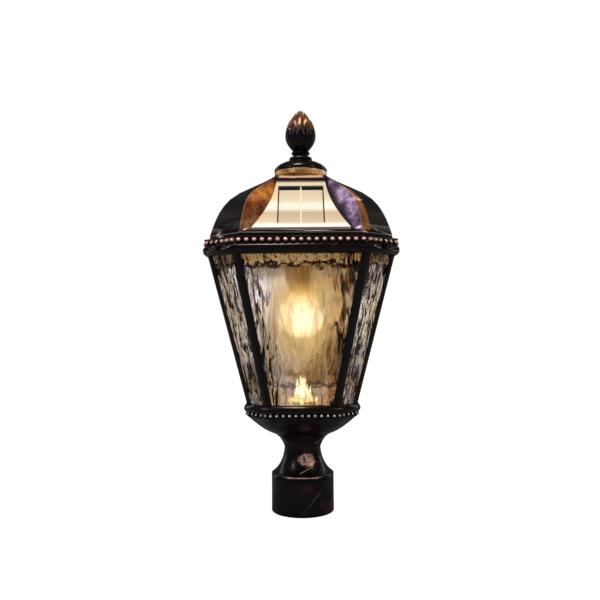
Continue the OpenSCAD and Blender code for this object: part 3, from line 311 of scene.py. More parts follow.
@dataclass(frozen=True)
class MottledRoofBronze(Finish):
    """The roof casting's patina, with painted reflections: orange-brown cheeks left of each panel, violet
    ones right; black corners.
    """

    coat: str = "100a08"
    # Colours of the cheeks' painted reflections
    orange: str = "9c4e1a"
    amber: str = "dc963e"
    violet: str = "7c5c86"
    lilac: str = "d0b8da"
    # Colours of the hips' painted highlight and of the painted highlight line on the upright band
    hip: str = "b98a72"
    line: str = "7d706a"
    # Heights in millimetres: the painted highlight line on the upright band, where the left cheek's painted
    # shade is darkest and where it has its full colour, the lower end of the shoulder's painted gold
    # reflection and where it is full, its painted pink highlight, and the top of the foot
    line_mm: float = 372.9
    cheek_shade_mm: float = 384.0
    full_mm: float = 425.0
    gold_reflection_low: float = 454.5
    gold_reflection_high: float = 457.0
    pink_highlight_mm: float = 458.0
    foot_mm: float = 377.0
    # Half width of the shoulder's painted gold reflection on each side, and sizes of the patina's specks and
    # clouds
    gold_reflection_half: float = 27.0
    mottle_mm: float = 2.0
    cloud_mm: float = 22.0

    def surface(self, net: Net) -> Node:
        """Returns the finish's shader, see Finish.surface."""
        place = net.mapped()
        parts = net.add("SeparateXYZ", (place,))
        height = parts.outputs["Z"]
        side, rise, beside = (
            net.add("Attribute", settings={"attribute_name": name}).outputs["Fac"]
            for name in ("side", "hip", "beside"))
        mottle = net.add("TexNoise", {
            "Vector": place, "Scale": 1 / (self.mottle_mm * MM), "Detail": 4.0, "Roughness": 0.7})
        cloud = net.add("TexNoise", {
            "Vector": place, "Scale": 1 / (self.cloud_mm * MM), "Detail": 3.0, "Roughness": 0.55})
        speck = net.add("Math", (mottle, 0.8, cloud), "MULTIPLY_ADD")
        patch = net.add("MapRange", (speck, 0.62, 1.15))
        # Painted reflections: orange-brown on the cheek left of each panel, violet on the right one
        warm = net.ramp(patch, [(0.05, "2c160b"), (0.45, self.orange), (0.95, self.amber)])
        cool = net.ramp(patch, [(0.1, "241a2a"), (0.5, self.violet), (0.95, self.lilac)])
        # Painted shade: the left cheek darkens towards its foot, the right one towards the panel
        foot_shade = net.add("MapRange", (height, self.cheek_shade_mm * MM, self.full_mm * MM, 0.3))
        shade = net.ramp(rise, [(0.18, "0c0808"), (0.62, grey(1.0))])
        warm, cool = (
            net.add("MixRGB", (1.0, cheek, dim), {"blend_type": "MULTIPLY"})
            for cheek, dim in ((warm, foot_shade), (cool, shade)))
        left, right, corner = (net.add("Math", (side, least), "GREATER_THAN") for least in (0.5, 1.5, 2.5))
        dark = net.ramp(speck, [(1.02, self.coat), (1.2, "341a0e")])
        # Painted reflection: a corner face turns orange beside the violet cheek
        strip = net.add("MapRange", (beside, 0.68, 0.8), SMOOTH)
        corner_reflection = net.add("Math", (strip, patch), "MULTIPLY")
        lit = net.layered(dark, (corner_reflection, "c07a34"))
        # Painted highlight: the hips are drawn as bright lines
        edge = net.ramp(rise, [(0.95, grey(0.0)), (0.99, grey(0.8))])
        off_corner = net.add("Math", (corner, -1.0, 1.0), "MULTIPLY_ADD")
        cheek = net.add("Math", (left, off_corner), "MULTIPLY")
        hips = net.add("Math", (edge, cheek), "MULTIPLY")
        # Painted highlight: a thin pale line along the upper edge of the upright band
        away = net.away(height, self.line_mm * MM)
        thin = net.add("MapRange", (away, 0.3 * MM, 0.9 * MM, 0.8, 0.0), SMOOTH)
        # Painted reflection: the shoulder under the cap turns gold, with a painted pink highlight on its
        # lower step
        over = net.add("MapRange", (height, self.gold_reflection_low * MM, self.gold_reflection_high * MM), SMOOTH)
        near = net.off_middle(parts)
        inside = net.add("MapRange", (near, self.gold_reflection_half * MM, (self.gold_reflection_half + 5) * MM, 1.0, 0.0), SMOOTH)
        high = net.add("Math", (over, inside), "MULTIPLY")
        gold = net.ramp(patch, [(0.1, "6e4420"), (0.5, "c08a4c"), (0.9, "ecd2a0")])
        step = net.add("MapRange", (height, self.pink_highlight_mm * MM, (self.pink_highlight_mm + 1) * MM, 1.0, 0.0), SMOOTH)
        gold = net.layered(gold, (step, "d9b3a2"))
        colour = net.layered(dark, (left, warm), (right, cool), (corner, lit), (hips, self.hip),
                             (thin, self.line), (high, gold))
        bump = net.add("Bump", {"Height": mottle, "Strength": 0.5, "Distance": 0.08 * MM})
        rough = net.add("MapRange", (height, self.foot_mm * MM, (self.foot_mm + 1) * MM, 0.12, 0.33))
        return net.add("BsdfPrincipled", {
            "Base Color": colour, "Metallic": 0.35, "Roughness": rough, "Normal": bump, "Coat Weight": 0.1,
            "Coat Roughness": 0.15})


@dataclass(frozen=True)
class SkyLitSheet(Finish):
    """Bright sheet with a painted reflection of a hazy sky, for panels and frames: cream, with a paler band
    at mid height.
    """

    # Painted reflection: the sky's colour on the sheet at each height, in millimetres
    stops: tuple = ((384, "eae6da"), (388, "cfc0a2"), (401, "c6ad88"), (408, "eeebda"), (414, "eeebda"),
                    (421, "dccfae"), (436, "d2c3a2"), (448, "d9ceaf"), (452, "c6ba98"))
    roughness: float = 0.3
    metallic: float = 0.15
    # Height above which the sheet is painted black as the shadow of the frame's recess, or 0 for none
    recess_shadow_mm: float = 0.0

    def surface(self, net: Net) -> Node:
        """Returns the finish's shader, see Finish.surface."""
        place = net.mapped()
        height = net.add("SeparateXYZ", (place,)).outputs["Z"]
        low, high = self.stops[0][0], self.stops[-1][0]
        share = net.add("MapRange", (height, low * MM, high * MM))
        band = net.ramp(share, [((z - low) / (high - low), c) for z, c in self.stops])
        grain = net.add("TexNoise", {"Vector": place, "Scale": 1 / (1.2 * MM), "Detail": 4.0})
        # Painted shadow of the frame's recess over the sheet's top
        if self.recess_shadow_mm:
            recess_shadow = net.add("Math", (height, self.recess_shadow_mm * MM), "GREATER_THAN")
            band = net.add("MixRGB", (recess_shadow, band, "0c0a09"))
        dim = net.ramp(grain, [(0.3, grey(0.7)), (0.7, grey(1.0))])
        mottle = net.add("MixRGB", (0.2, band, dim), {"blend_type": "MULTIPLY"})
        return net.add("BsdfPrincipled", {
            "Base Color": mottle, "Metallic": self.metallic, "Roughness": self.roughness, "Coat Weight": 0.15,
            "Coat Roughness": 0.08})


@dataclass(frozen=True)
class PanelBorder(Finish):
    """The solar panel around its cells: black at its top and sides as painted shadow of the frame's recess,
    pale foil between the cells.
    """

    pale: str = "efe0c0"
    dark: str = "0c0a09"
    line_mm: float = 1.0
    foot_mm: float = 386.6

    def surface(self, net: Net) -> Node:
        """Returns the finish's shader, see Finish.surface."""
        place = net.mapped()
        parts = net.add("SeparateXYZ", (place,))
        near = net.off_middle(parts)
        middle = net.add("Math", (near, self.line_mm * MM), "LESS_THAN")
        foot = net.add("Math", (parts.outputs["Z"], self.foot_mm * MM), "LESS_THAN")
        either = net.add("Math", (middle, foot), "MAXIMUM")
        grain = net.add("TexNoise", {"Vector": place, "Scale": 1 / (0.9 * MM), "Detail": 2.0})
        pale = net.ramp(grain, [(0.3, "e0cda6"), (0.7, self.pale)])
        colour = net.add("MixRGB", (either, self.dark, pale))
        return net.add("BsdfPrincipled", {"Base Color": colour, "Roughness": 0.35})


@dataclass(frozen=True)
class SmoothMetal(Finish):
    """Machined, plated or enamelled metal, with fine brushing or orange peel."""

    colour: str = "b8b2a4"
    second: str = "8f897c"
    metallic: float = 1.0
    roughness: float = 0.3
    grain_mm: float = 3.0
    coat: float = 0.0

    def surface(self, net: Net) -> Node:
        """Returns the finish's shader, see Finish.surface."""
        grain = net.add("TexNoise", {
            "Vector": net.mapped(), "Scale": 1 / (self.grain_mm * MM), "Detail": 5.0, "Roughness": 0.6})
        colour = net.ramp(grain, [(0.3, self.second), (0.7, self.colour)])
        rough = net.add("MapRange", (grain, 0.0, 1.0, self.roughness * 0.7, self.roughness * 1.3))
        bump = net.add("Bump", {"Height": grain, "Strength": 0.3, "Distance": 0.05 * MM})
        return net.add("BsdfPrincipled", {
            "Base Color": colour, "Metallic": self.metallic, "Roughness": rough, "Normal": bump,
            "Coat Weight": self.coat})


@dataclass(frozen=True)
class RippledGlass(Finish):
    """Cast water glass with painted light: grey to gold, a warm halo, the lit tray and floor seen through it,
    and long dark lines where its ripples turn the light away.
    """

    # Tints of a pane's outer face, the umber and gold ones painted warm light; light passes two of them on
    # its way through the lantern
    clear: str = "fbfafc"
    lilac: str = "eeeffa"
    umber: str = "b48e56"
    gold: str = "e8d29a"
    dark: str = "0e0a08"
    # Light that the frosty ripples scatter, away from the bulb and before it, where its warm colour is
    # painted light
    frost: str = "f2eef6"
    halo: str = "ecca7a"
    frost_share: float = 0.12
    halo_share: float = 0.42
    roughness: float = 0.05
    # Size of a seed in the glass, in millimetres
    seed_mm: float = 5.0
    # Heights on the pane, in millimetres, at which the far edges of tray and floor are painted as seen
    # through the glass
    tray_mm: float = 178.5
    floor_mm: float = 27.0
    # Middle height and radii of the bulb's painted golden halo on a wide pane, in millimetres
    halo_mm: float = 118.0
    halo_wide_mm: float = 60.0
    halo_tall_mm: float = 96.0
    # How far the scallops of tray and floor swing, in millimetres
    scallop_mm: float = 26.0
    # Sets of lines, see the method lines: long and short painted dark ones, painted slits, and shining backs
    # of ripples
    long: tuple = (8.0, 80.0, 0.5, 0.038)
    short: tuple = (6.0, 34.0, 0.46, 0.028)
    slits: tuple = (7.0, 50.0, 0.56, 0.022)
    backs: tuple = (9.0, 80.0, 0.56, 0.03)

    def lines(self, net: Net, place: Node, wide_mm: float, long_mm: float, level: float, half: float) -> Node:
        """Makes long wavy lines.

        Args:
            net: the material's nodes.
            place: millimetres along and up the pane.
            wide_mm: distance between lines.
            long_mm: length of a line.
            level: pattern value at the line's middle.
            half: how far from that value the line ends.

        Returns:
            A mask that is 1 on a line and 0 off it.
        """
        stretched = net.add("VectorMath", (place, (wide_mm, long_mm, 1.0)), "DIVIDE")
        field = net.add("TexNoise", {
            "Vector": stretched, "Scale": 1.0, "Detail": 2.0, "Roughness": 0.55, "Distortion": 0.2})
        return net.add("MapRange", (net.away(field, level), half * 0.7, half, 1.0, 0.0), SMOOTH)

    def drawn(self, net: Net, place: Node, flat: NodeSocket, across: NodeSocket, up: NodeSocket,
              narrow: NodeSocket) -> Node:
        """Draws all painted dark lines on a pane.

        Args:
            net: the material's nodes.
            place: millimetres along and up the pane, bent by a gentle sway.
            flat: the same without the sway.
            across: -1 at the pane's left edge, 1 at its right one.
            up: 0 at the pane's foot, 1 at its head.
            narrow: 1 on the narrow corner panes.

        Returns:
            Their mask.
        """
        # Lines are strongest beside the posts, near the foot and on the narrow panes
        margin = net.add("Math", (across,), "ABSOLUTE")
        reach = net.add("MapRange", (margin, 0.35, 0.72, 0.06))
        low = net.add("MapRange", (up, 0.08, 0.24, 0.7, 0.0))
        busy = net.add("Math", (low, narrow), "MAXIMUM")
        strength = net.add("Math", (reach, busy), "MAXIMUM")
        long, short, slits = (
            net.add("Math", (self.lines(net, place, *kind), share), "MULTIPLY")
            for kind, share in ((self.long, strength), (self.short, busy), (self.slits, narrow)))
        both = net.add("Math", (long, short), "MAXIMUM")
        drawn = net.add("Math", (both, slits), "MAXIMUM")
        # Painted view through the glass: the far edges of ceiling tray and floor as two scalloped lines
        waves = net.add("TexNoise", {"Vector": flat, "Scale": 0.1, "Detail": 3.0})
        height = net.add("SeparateXYZ", (flat,)).outputs["Y"]
        rise = net.add("Math", (waves, self.scallop_mm, height), "MULTIPLY_ADD")
        for level, amount in ((self.tray_mm, 0.95), (self.floor_mm, 0.75)):
            away = net.away(rise, level + self.scallop_mm / 2)
            line = net.add("MapRange", (away, 1.3, 2.6, amount, 0.0), SMOOTH)
            drawn = net.add("Math", (drawn, line), "MAXIMUM")
        return drawn

    def surface(self, net: Net) -> Node:
        """Returns the finish's shader, see Finish.surface."""
        across, up, outer, narrow, sideways = (
            net.add("Attribute", settings={"attribute_name": name}).outputs["Fac"]
            for name in ("across", "up", "outer", "narrow", "sideways"))
        flat = net.add("Attribute", settings={"attribute_name": "flat"}).outputs["Vector"]
        # A gentle sway bends all lines
        bend = net.add("TexNoise", {"Vector": flat, "Scale": 0.05, "Detail": 3.0}).outputs["Color"]
        place = net.add("VectorMath", (bend, (9.0, 0.0, 0.0), flat), "MULTIPLY_ADD")
        drawn = net.add("Math", (self.drawn(net, place, flat, across, up, narrow), outer), "MULTIPLY")
        # Painted view of the lamp-lit brass through the glass: mottled brass above the tray's line and below
        # the floor's one on the wide panes
        height = net.add("SeparateXYZ", (flat,)).outputs["Y"]
        over = net.add("MapRange", (height, self.tray_mm - 1, self.tray_mm + 1.5), SMOOTH)
        under = net.add("MapRange", (height, self.floor_mm - 1, self.floor_mm + 3, 0.4, 0.0), SMOOTH)
        wide = net.add("Math", (narrow, -0.7, 1.0), "MULTIPLY_ADD")
        beyond = net.add("Math", (over, under), "MAXIMUM")
        above = net.add("Math", (beyond, wide), "MULTIPLY")
        specks = net.add("TexNoise", {"Vector": flat, "Scale": 0.3, "Detail": 4.0, "Roughness": 0.65})
        brass = net.ramp(specks, [(0.38, "6a4622"), (0.45, "f6dca8"), (0.54, "fff8e0")])
        # Painted light: the bulb's halo is a gold ellipse before the bulb, and reaches further to its left
        # than to its right
        aim = net.add("VectorMath", (flat, (0.0, self.halo_mm, 0.0)), "SUBTRACT")
        share = net.add("VectorMath", (aim, (1 / self.halo_wide_mm, 1 / self.halo_tall_mm, 0.0)), "MULTIPLY")
        far = net.add("VectorMath", (share,), "LENGTH").outputs["Value"]
        cloud = net.add("TexNoise", {"Vector": place, "Scale": 0.04, "Detail": 3.0})
        shifted = net.add("Math", (sideways, 0.15, far), "MULTIPLY_ADD")
        ragged = net.add("Math", (cloud, 0.5, shifted), "MULTIPLY_ADD")
        ring = net.add("MapRange", (ragged, 0.55, 1.5, 1.0, 0.0), SMOOTH)
        halo = net.add("Math", (ring, wide), "MULTIPLY")
        # Painted light: the glass turns umber towards the lantern's right and lilac towards its left
        warmth = net.add("Math", (sideways, 0.45, cloud), "MULTIPLY_ADD")
        tint = net.ramp(warmth, [(0.3, self.lilac), (0.42, self.clear), (0.62, self.umber)])
        tint = net.layered(tint, (narrow, "ffffff"), (halo, self.gold), (above, brass))
        tint = net.layered("fdfdfd", (outer, tint), (drawn, self.dark))
        seeds = net.add("TexNoise", {
            "Vector": net.mapped((1, 1, 0.3)), "Scale": 1 / (self.seed_mm * MM), "Detail": 3.0})
        bump = net.add("Bump", {"Height": seeds, "Strength": 0.5, "Distance": 0.5 * MM})
        rough = net.add("Math", (halo, 0.16, self.roughness), "MULTIPLY_ADD")
        glass = net.add("BsdfPrincipled", {
            "Base Color": tint, "Transmission Weight": 1.0, "Roughness": rough, "IOR": 1.47, "Normal": bump})
        # The frosty skin scatters light, most of all before the bulb and on the backs of the ripples; its
        # colour carries the painted halo, brass and dark lines
        mist = net.ramp(warmth, [(0.45, self.frost), (0.65, "c89858")])
        mist = net.layered(mist, (halo, self.halo), (above, brass), (drawn, self.dark))
        hazy = net.add("BsdfTranslucent", {"Color": mist})
        skin = self.frost_share
        for mask, more in ((above, 0.75), (narrow, 0.04 - self.frost_share),
                           (halo, self.halo_share - self.frost_share),
                           (self.lines(net, place, *self.backs), 0.2)):
            skin = net.add("Math", (mask, more, skin), "MULTIPLY_ADD")
        skin = net.add("Math", (skin, outer), "MULTIPLY")
        body = net.add("MixShader", (skin, glass, hazy))
        # Shadow rays pass straight through
        clear = net.add("BsdfTransparent", {"Color": "f4f4f4"})
        return net.add("MixShader", (net.add("LightPath").outputs["Is Shadow Ray"], body, clear))


@dataclass(frozen=True)
class Glow(Finish):
    """A surface that shines: the bulb's globe, and painted light on parts that the bulb lights; hottest at
    one height, and warmer and dimmer away from it.
    """

    colour: str = "ffdc88"
    hot: str = "fffcf4"
    strength: float = 2.1
    # Height of the hottest part and how far away it has cooled down, in millimetres
    middle_mm: float = 266.0
    reach_mm: float = 50.0
    # Share of the strength that is left there
    edge: float = 0.45
    # Share of the strength that is left between the four lamp strips inside, or 1 for an even shine, and the
    # distances from a strip's middle, in millimetres, at which it starts and ends to fade
    between: float = 1.0
    strip_mm: tuple[float, float] = (5.0, 19.0)

    def surface(self, net: Net) -> Node:
        """Returns the finish's shader, see Finish.surface."""
        parts = net.add("SeparateXYZ", (net.mapped(),))
        away = net.away(parts.outputs["Z"], self.middle_mm * MM)
        share = net.add("MapRange", (away, 0.0, self.reach_mm * MM, 1.0, 0.0), SMOOTH)
        colour = net.ramp(share, [(0.1, self.colour), (0.8, self.hot)])
        power = net.add("MapRange", (share, 0.0, 1.0, self.strength * self.edge, self.strength))
        if self.between < 1.0:
            near = net.off_middle(parts)
            near_mm, far_mm = self.strip_mm
            strip = net.add("MapRange", (near, near_mm * MM, far_mm * MM, 1.0, self.between), SMOOTH)
            power = net.add("Math", (power, strip), "MULTIPLY")
        return net.add("BsdfPrincipled", {
            "Base Color": "fff4e0", "Roughness": 0.4, "Emission Color": colour, "Emission Strength": power})


@dataclass(frozen=True)
class Moulded(Finish):
    """Injection-moulded plastic, rubber or a coated board, with the fine grain of its mould."""

    colour: str = "202022"
    second: str = "18181a"
    roughness: float = 0.5
    grain_mm: float = 0.8

    def surface(self, net: Net) -> Node:
        """Returns the finish's shader, see Finish.surface."""
        grain = net.add("TexNoise", {
            "Vector": net.mapped(), "Scale": 1 / (self.grain_mm * MM), "Detail": 3.0})
        colour = net.ramp(grain, [(0.3, self.second), (0.7, self.colour)])
        bump = net.add("Bump", {"Height": grain, "Strength": 0.4, "Distance": 0.03 * MM})
        return net.add("BsdfPrincipled", {"Base Color": colour, "Roughness": self.roughness, "Normal": bump})


@dataclass(frozen=True)
class PaperFloor(Finish):
    """White paper that the camera sees as pure white, and that sends little light up to the lantern."""

    bounced: float = 0.12

    def surface(self, net: Net) -> Node:
        """Returns the finish's shader, see Finish.surface."""
        matte = net.add("BsdfDiffuse", {"Color": grey(self.bounced)})
        seen = net.add("LightPath").outputs["Is Camera Ray"]
        return net.add("AddShader", (matte, net.add("Emission", {"Color": grey(1.0), "Strength": seen})))


# Meshes


def placed(name: str, data: ID) -> Object:
    """Adds an object to the scene.

    Args:
        name: the object's name.
        data: its mesh, light or camera.

    Returns:
        The new object.
    """
    node = bpy.data.objects.new(name, data)
    bpy.context.scene.collection.objects.link(node)
    return node


def new_piece(name: str, bm: BMesh, finish: Material, body: Body,
              replaces: tuple[str, ...] = (), sharp_deg: float = 35.0) -> Object:
    """Turns a bmesh into a named piece that rides on a body.

    Args:
        name: the piece's name.
        bm: its mesh; it is freed here.
        finish: its material.
        body: the body that it rides on.
        replaces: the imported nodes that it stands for.
        sharp_deg: edges that turn by more than this stay sharp.

    Returns:
        The new object.
    """
    # Blender's own order of new edges and faces changes from run to run
    bm.verts.index_update()
    for parts in (bm.edges, bm.faces):
        parts.sort(key=lambda part: reduce(
            lambda number, index: number * len(bm.verts) + index,
            sorted(vert.index for vert in part.verts)[:3]))
    mesh = bpy.data.meshes.new(name)
    bm.to_mesh(mesh)
    bm.free()
    mesh.shade_smooth()
    mesh.set_sharp_from_angle(angle=radians(sharp_deg))
    piece = placed(name, mesh)
    mesh.materials.clear()
    mesh.materials.append(finish)
    if replaces:
        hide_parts(*replaces)
    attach(piece, body.value)
    LOG.info("piece %s: %d faces", name, len(mesh.polygons))
    return piece


def merged_copy(node: Object) -> BMesh:
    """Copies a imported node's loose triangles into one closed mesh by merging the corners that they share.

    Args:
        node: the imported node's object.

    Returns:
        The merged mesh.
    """
    bm = bmesh.new()
    bm.from_mesh(node.data)
    bmesh.ops.remove_doubles(bm, verts=bm.verts, dist=2e-6)
    return bm


def octagon(a: float, b: float) -> list[tuple[float, float]]:
    """Lays out an eight-sided plan.

    Args:
        a: distance of the wide sides from the axis.
        b: half the length of a wide side.

    Returns:
        Its corners, from the right end of the front side round to its left end.
    """
    return [(b, -a), (a, -b), (a, b), (b, a), (-b, a), (-a, b), (-a, -b), (-b, -a)]


def turned(profile: list[tuple[float, float]], base_z: float, steps: int) -> BMesh:
    """Turns a profile round the lantern's axis.

    Args:
        profile: radius and height of each point in millimetres, from the axis out and back to it.
        base_z: height that is added to each point, in millimetres.
        steps: number of steps in a full turn.

    Returns:
        The closed turned mesh.
    """
    bm = bmesh.new()
    verts = [bm.verts.new((radius * MM, 0, (base_z + up) * MM)) for radius, up in profile]
    edges = [bm.edges.new(pair) for pair in zip(verts, verts[1:])]
    bmesh.ops.spin(bm, geom=verts + edges, axis=(0, 0, 1), angle=2 * pi, steps=steps, use_merge=True)
    bmesh.ops.remove_doubles(bm, verts=bm.verts, dist=1e-6)
    bmesh.ops.recalc_face_normals(bm, faces=bm.faces)
    return bm


def twisted_ring(bm: BMesh, radius: float, tube: float, height: float, turns: int) -> None:
    """Adds a rope-like ring: a torus whose tube has two twisted strands.

    Args:
        bm: the mesh to add to.
        radius: radius of the ring's middle line, in millimetres.
        tube: radius of the tube, in millimetres.
        height: height of the ring's middle, in millimetres.
        turns: number of strands that cross the top.
    """
    strands = 2
    circle = bmesh.ops.create_circle(bm, segments=16, radius=tube * MM)
    verts = circle["verts"]
    edges = list(dict.fromkeys(edge for vert in verts for edge in vert.link_edges))
    before = set(bm.verts) - set(verts)
    for vert in verts:
        vert.co = Vector((radius * MM + vert.co.x, 0, height * MM + vert.co.y))
    bmesh.ops.spin(bm, geom=verts + edges, axis=(0, 0, 1), angle=2 * pi, steps=96, use_merge=True)
    for vert in [v for v in bm.verts if v not in before]:
        flat = Vector((vert.co.x, vert.co.y, 0))
        middle = flat.normalized() * radius * MM + Vector((0, 0, height * MM))
        out = vert.co - middle
        around, inside = (
            acos(max(-1.0, min(1.0, share))) * (1 if upper >= 0 else -1) for share, upper in (
                (flat.x / flat.length, flat.y), ((flat.length - radius * MM) / out.length, out.z)))
        vert.co = middle + out * (0.82 + 0.2 * abs(sin((turns * around + strands * inside) / 2)))


def add_bevel(piece: Object, width_mm: float, segments: int = 2, limit_deg: float = 32.0) -> None:
    """Rounds a piece's sharp edges with a live bevel.

    Args:
        piece: the object.
        width_mm: width of the bevel, in millimetres.
        segments: number of facets in it.
        limit_deg: edges that turn by less than this stay as they are.
    """
    bevel = piece.modifiers.new("rounded_edges", "BEVEL")
    bevel.width = width_mm * MM
    bevel.segments = segments
    bevel.limit_method = "ANGLE"
    bevel.angle_limit = radians(limit_deg)
    bevel.harden_normals = True


def dress(node: Object, material: Material) -> None:
    """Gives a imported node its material.

    Args:
        node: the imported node's object.
        material: the material.
    """
    if not node.data.materials:
        node.data.materials.append(material)
    for index in range(len(node.data.materials)):
        node.data.materials[index] = material


# Sub-assemblies


@dataclass
class Castings:
    """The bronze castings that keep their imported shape, with smooth curves and softened edges."""

    nodes: dict

    def soften(self, name: str, finish: Material, body: Body, edge_mm: float = 0.0,
               sharp_deg: float = 32.0) -> None:
        """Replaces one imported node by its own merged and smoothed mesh.

        Args:
            name: the node's name.
            finish: its material.
            body: the body that it rides on.
            edge_mm: width of the rounding on its edges, or 0 for none.
            sharp_deg: edges that turn by more than this stay sharp.
        """
        bm = merged_copy(self.nodes[name])
        if edge_mm:
            bmesh.ops.dissolve_limit(bm, angle_limit=radians(0.4), verts=bm.verts, edges=bm.edges)
        piece = new_piece("cast_" + name, bm, finish, body, (name,), sharp_deg)
        if edge_mm:
            add_bevel(piece, edge_mm)


@dataclass
class BeadedRim:
    """A rim casting whose beads carry a painted highlight on their upper outer side; sizes in millimetres."""

    node: Object
    bead_z: float
    bead_a: float
    bead_run: float
    bead_r: float
    pitch: float

    def beads(self) -> list[Vector]:
        """Returns the middle of each bead round the rim."""
        plan = octagon(self.bead_a, self.bead_a - self.bead_run)
        places = []
        for first, second in zip(plan, plan[1:] + plan[:1]):
            start, end = Vector((*first, self.bead_z)), Vector((*second, self.bead_z))
            count = max(1, round((end - start).length / self.pitch))
            places += [start.lerp(end, (number + 0.5) / count) * MM for number in range(count)]
        return places

    def build(self, name: str, finish: Material, sharp: float, aim: float) -> None:
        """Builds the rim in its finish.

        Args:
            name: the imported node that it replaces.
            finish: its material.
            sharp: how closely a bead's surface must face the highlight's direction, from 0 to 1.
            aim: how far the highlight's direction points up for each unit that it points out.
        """
        bm = merged_copy(self.node)
        bm.normal_update()
        glints = bm.verts.layers.float.new("glints")
        tree = kdtree.KDTree(len(bm.verts))
        for vert in bm.verts:
            tree.insert(vert.co, vert.index)
        tree.balance()
        bm.verts.ensure_lookup_table()
        # Painted highlight: each bead is marked where it faces outwards and up, and forwards on the front
        # side
        for middle in self.beads():
            out = Vector((middle.x, middle.y, 0)).normalized()
            side = Vector((0, -1, 0)) if abs(out.y) > abs(out.x) and out.y < 0 else out
            facing = (side + Vector((0, 0, aim))).normalized()
            for place, index, _ in tree.find_range(middle, (self.bead_r + 0.15) * MM):
                toward = (place - middle).normalized()
                if (place - middle).length > (self.bead_r - 0.3) * MM:
                    share = (toward.dot(facing) - sharp) / (1 - sharp)
                    bm.verts[index][glints] = max(bm.verts[index][glints], min(1.0, max(0.0, 1.6 * share)))
        new_piece("cast_" + name, bm, finish, Body.LANTERN, (name,), 32.0)


@dataclass
class RoofCasting:
    """The roof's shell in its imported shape, with its cheeks, corner faces and hips told apart."""

    node: Object
    # Heights between which a face counts, and the half width that the panels take up, in metres
    foot: float = 0.376
    head: float = 0.4645
    half: float = 0.033

    def kind(self, face: BMFace) -> float:
        """Tells the faces of the dome apart.

        Args:
            face: a face of the casting.

        Returns:
            1 for the cheek left of a panel, 2 for the right one, 3 for a corner face and 0 for the rest.
        """
        centre, normal = face.calc_center_median(), face.normal
        if not self.foot < centre.z < self.head:
            return 0.0
        turns = [(centre.x, centre.y, normal.x, normal.y), (centre.y, -centre.x, normal.y, -normal.x),
                 (-centre.x, -centre.y, -normal.x, -normal.y), (-centre.y, centre.x, -normal.y, normal.x)]
        along, _, lean, inward = min(turns, key=lambda side: side[1])
        if inward >= 0:
            return 0.0
        if along * lean > 0 and abs(abs(normal.x) - abs(normal.y)) < 0.25 * max(abs(normal.x), abs(normal.y)):
            return 3.0
        if abs(along) < self.half or abs(lean) < 0.02:
            return 0.0
        return 1.0 if along < 0 else 2.0

    def build(self, finish: Material) -> None:
        """Builds the shell.

        Args:
            finish: its material.
        """
        bm = merged_copy(self.node)
        bm.normal_update()
        side = bm.faces.layers.float.new("side")
        hip = bm.verts.layers.float.new("hip")
        beside = bm.verts.layers.float.new("beside")
        for face in bm.faces:
            face[side] = self.kind(face)
        for vert in bm.verts:
            kinds = {face[side] for face in vert.link_faces}
            vert[hip] = 1.0 if 3.0 in kinds else 0.0
            vert[beside] = 1.0 if {2.0, 3.0} <= kinds and vert.co.x * vert.co.y < 0 else 0.0
        new_piece("cast_roof_shell", bm, finish, Body.ROOF, ("roof_shell",), 28.0)


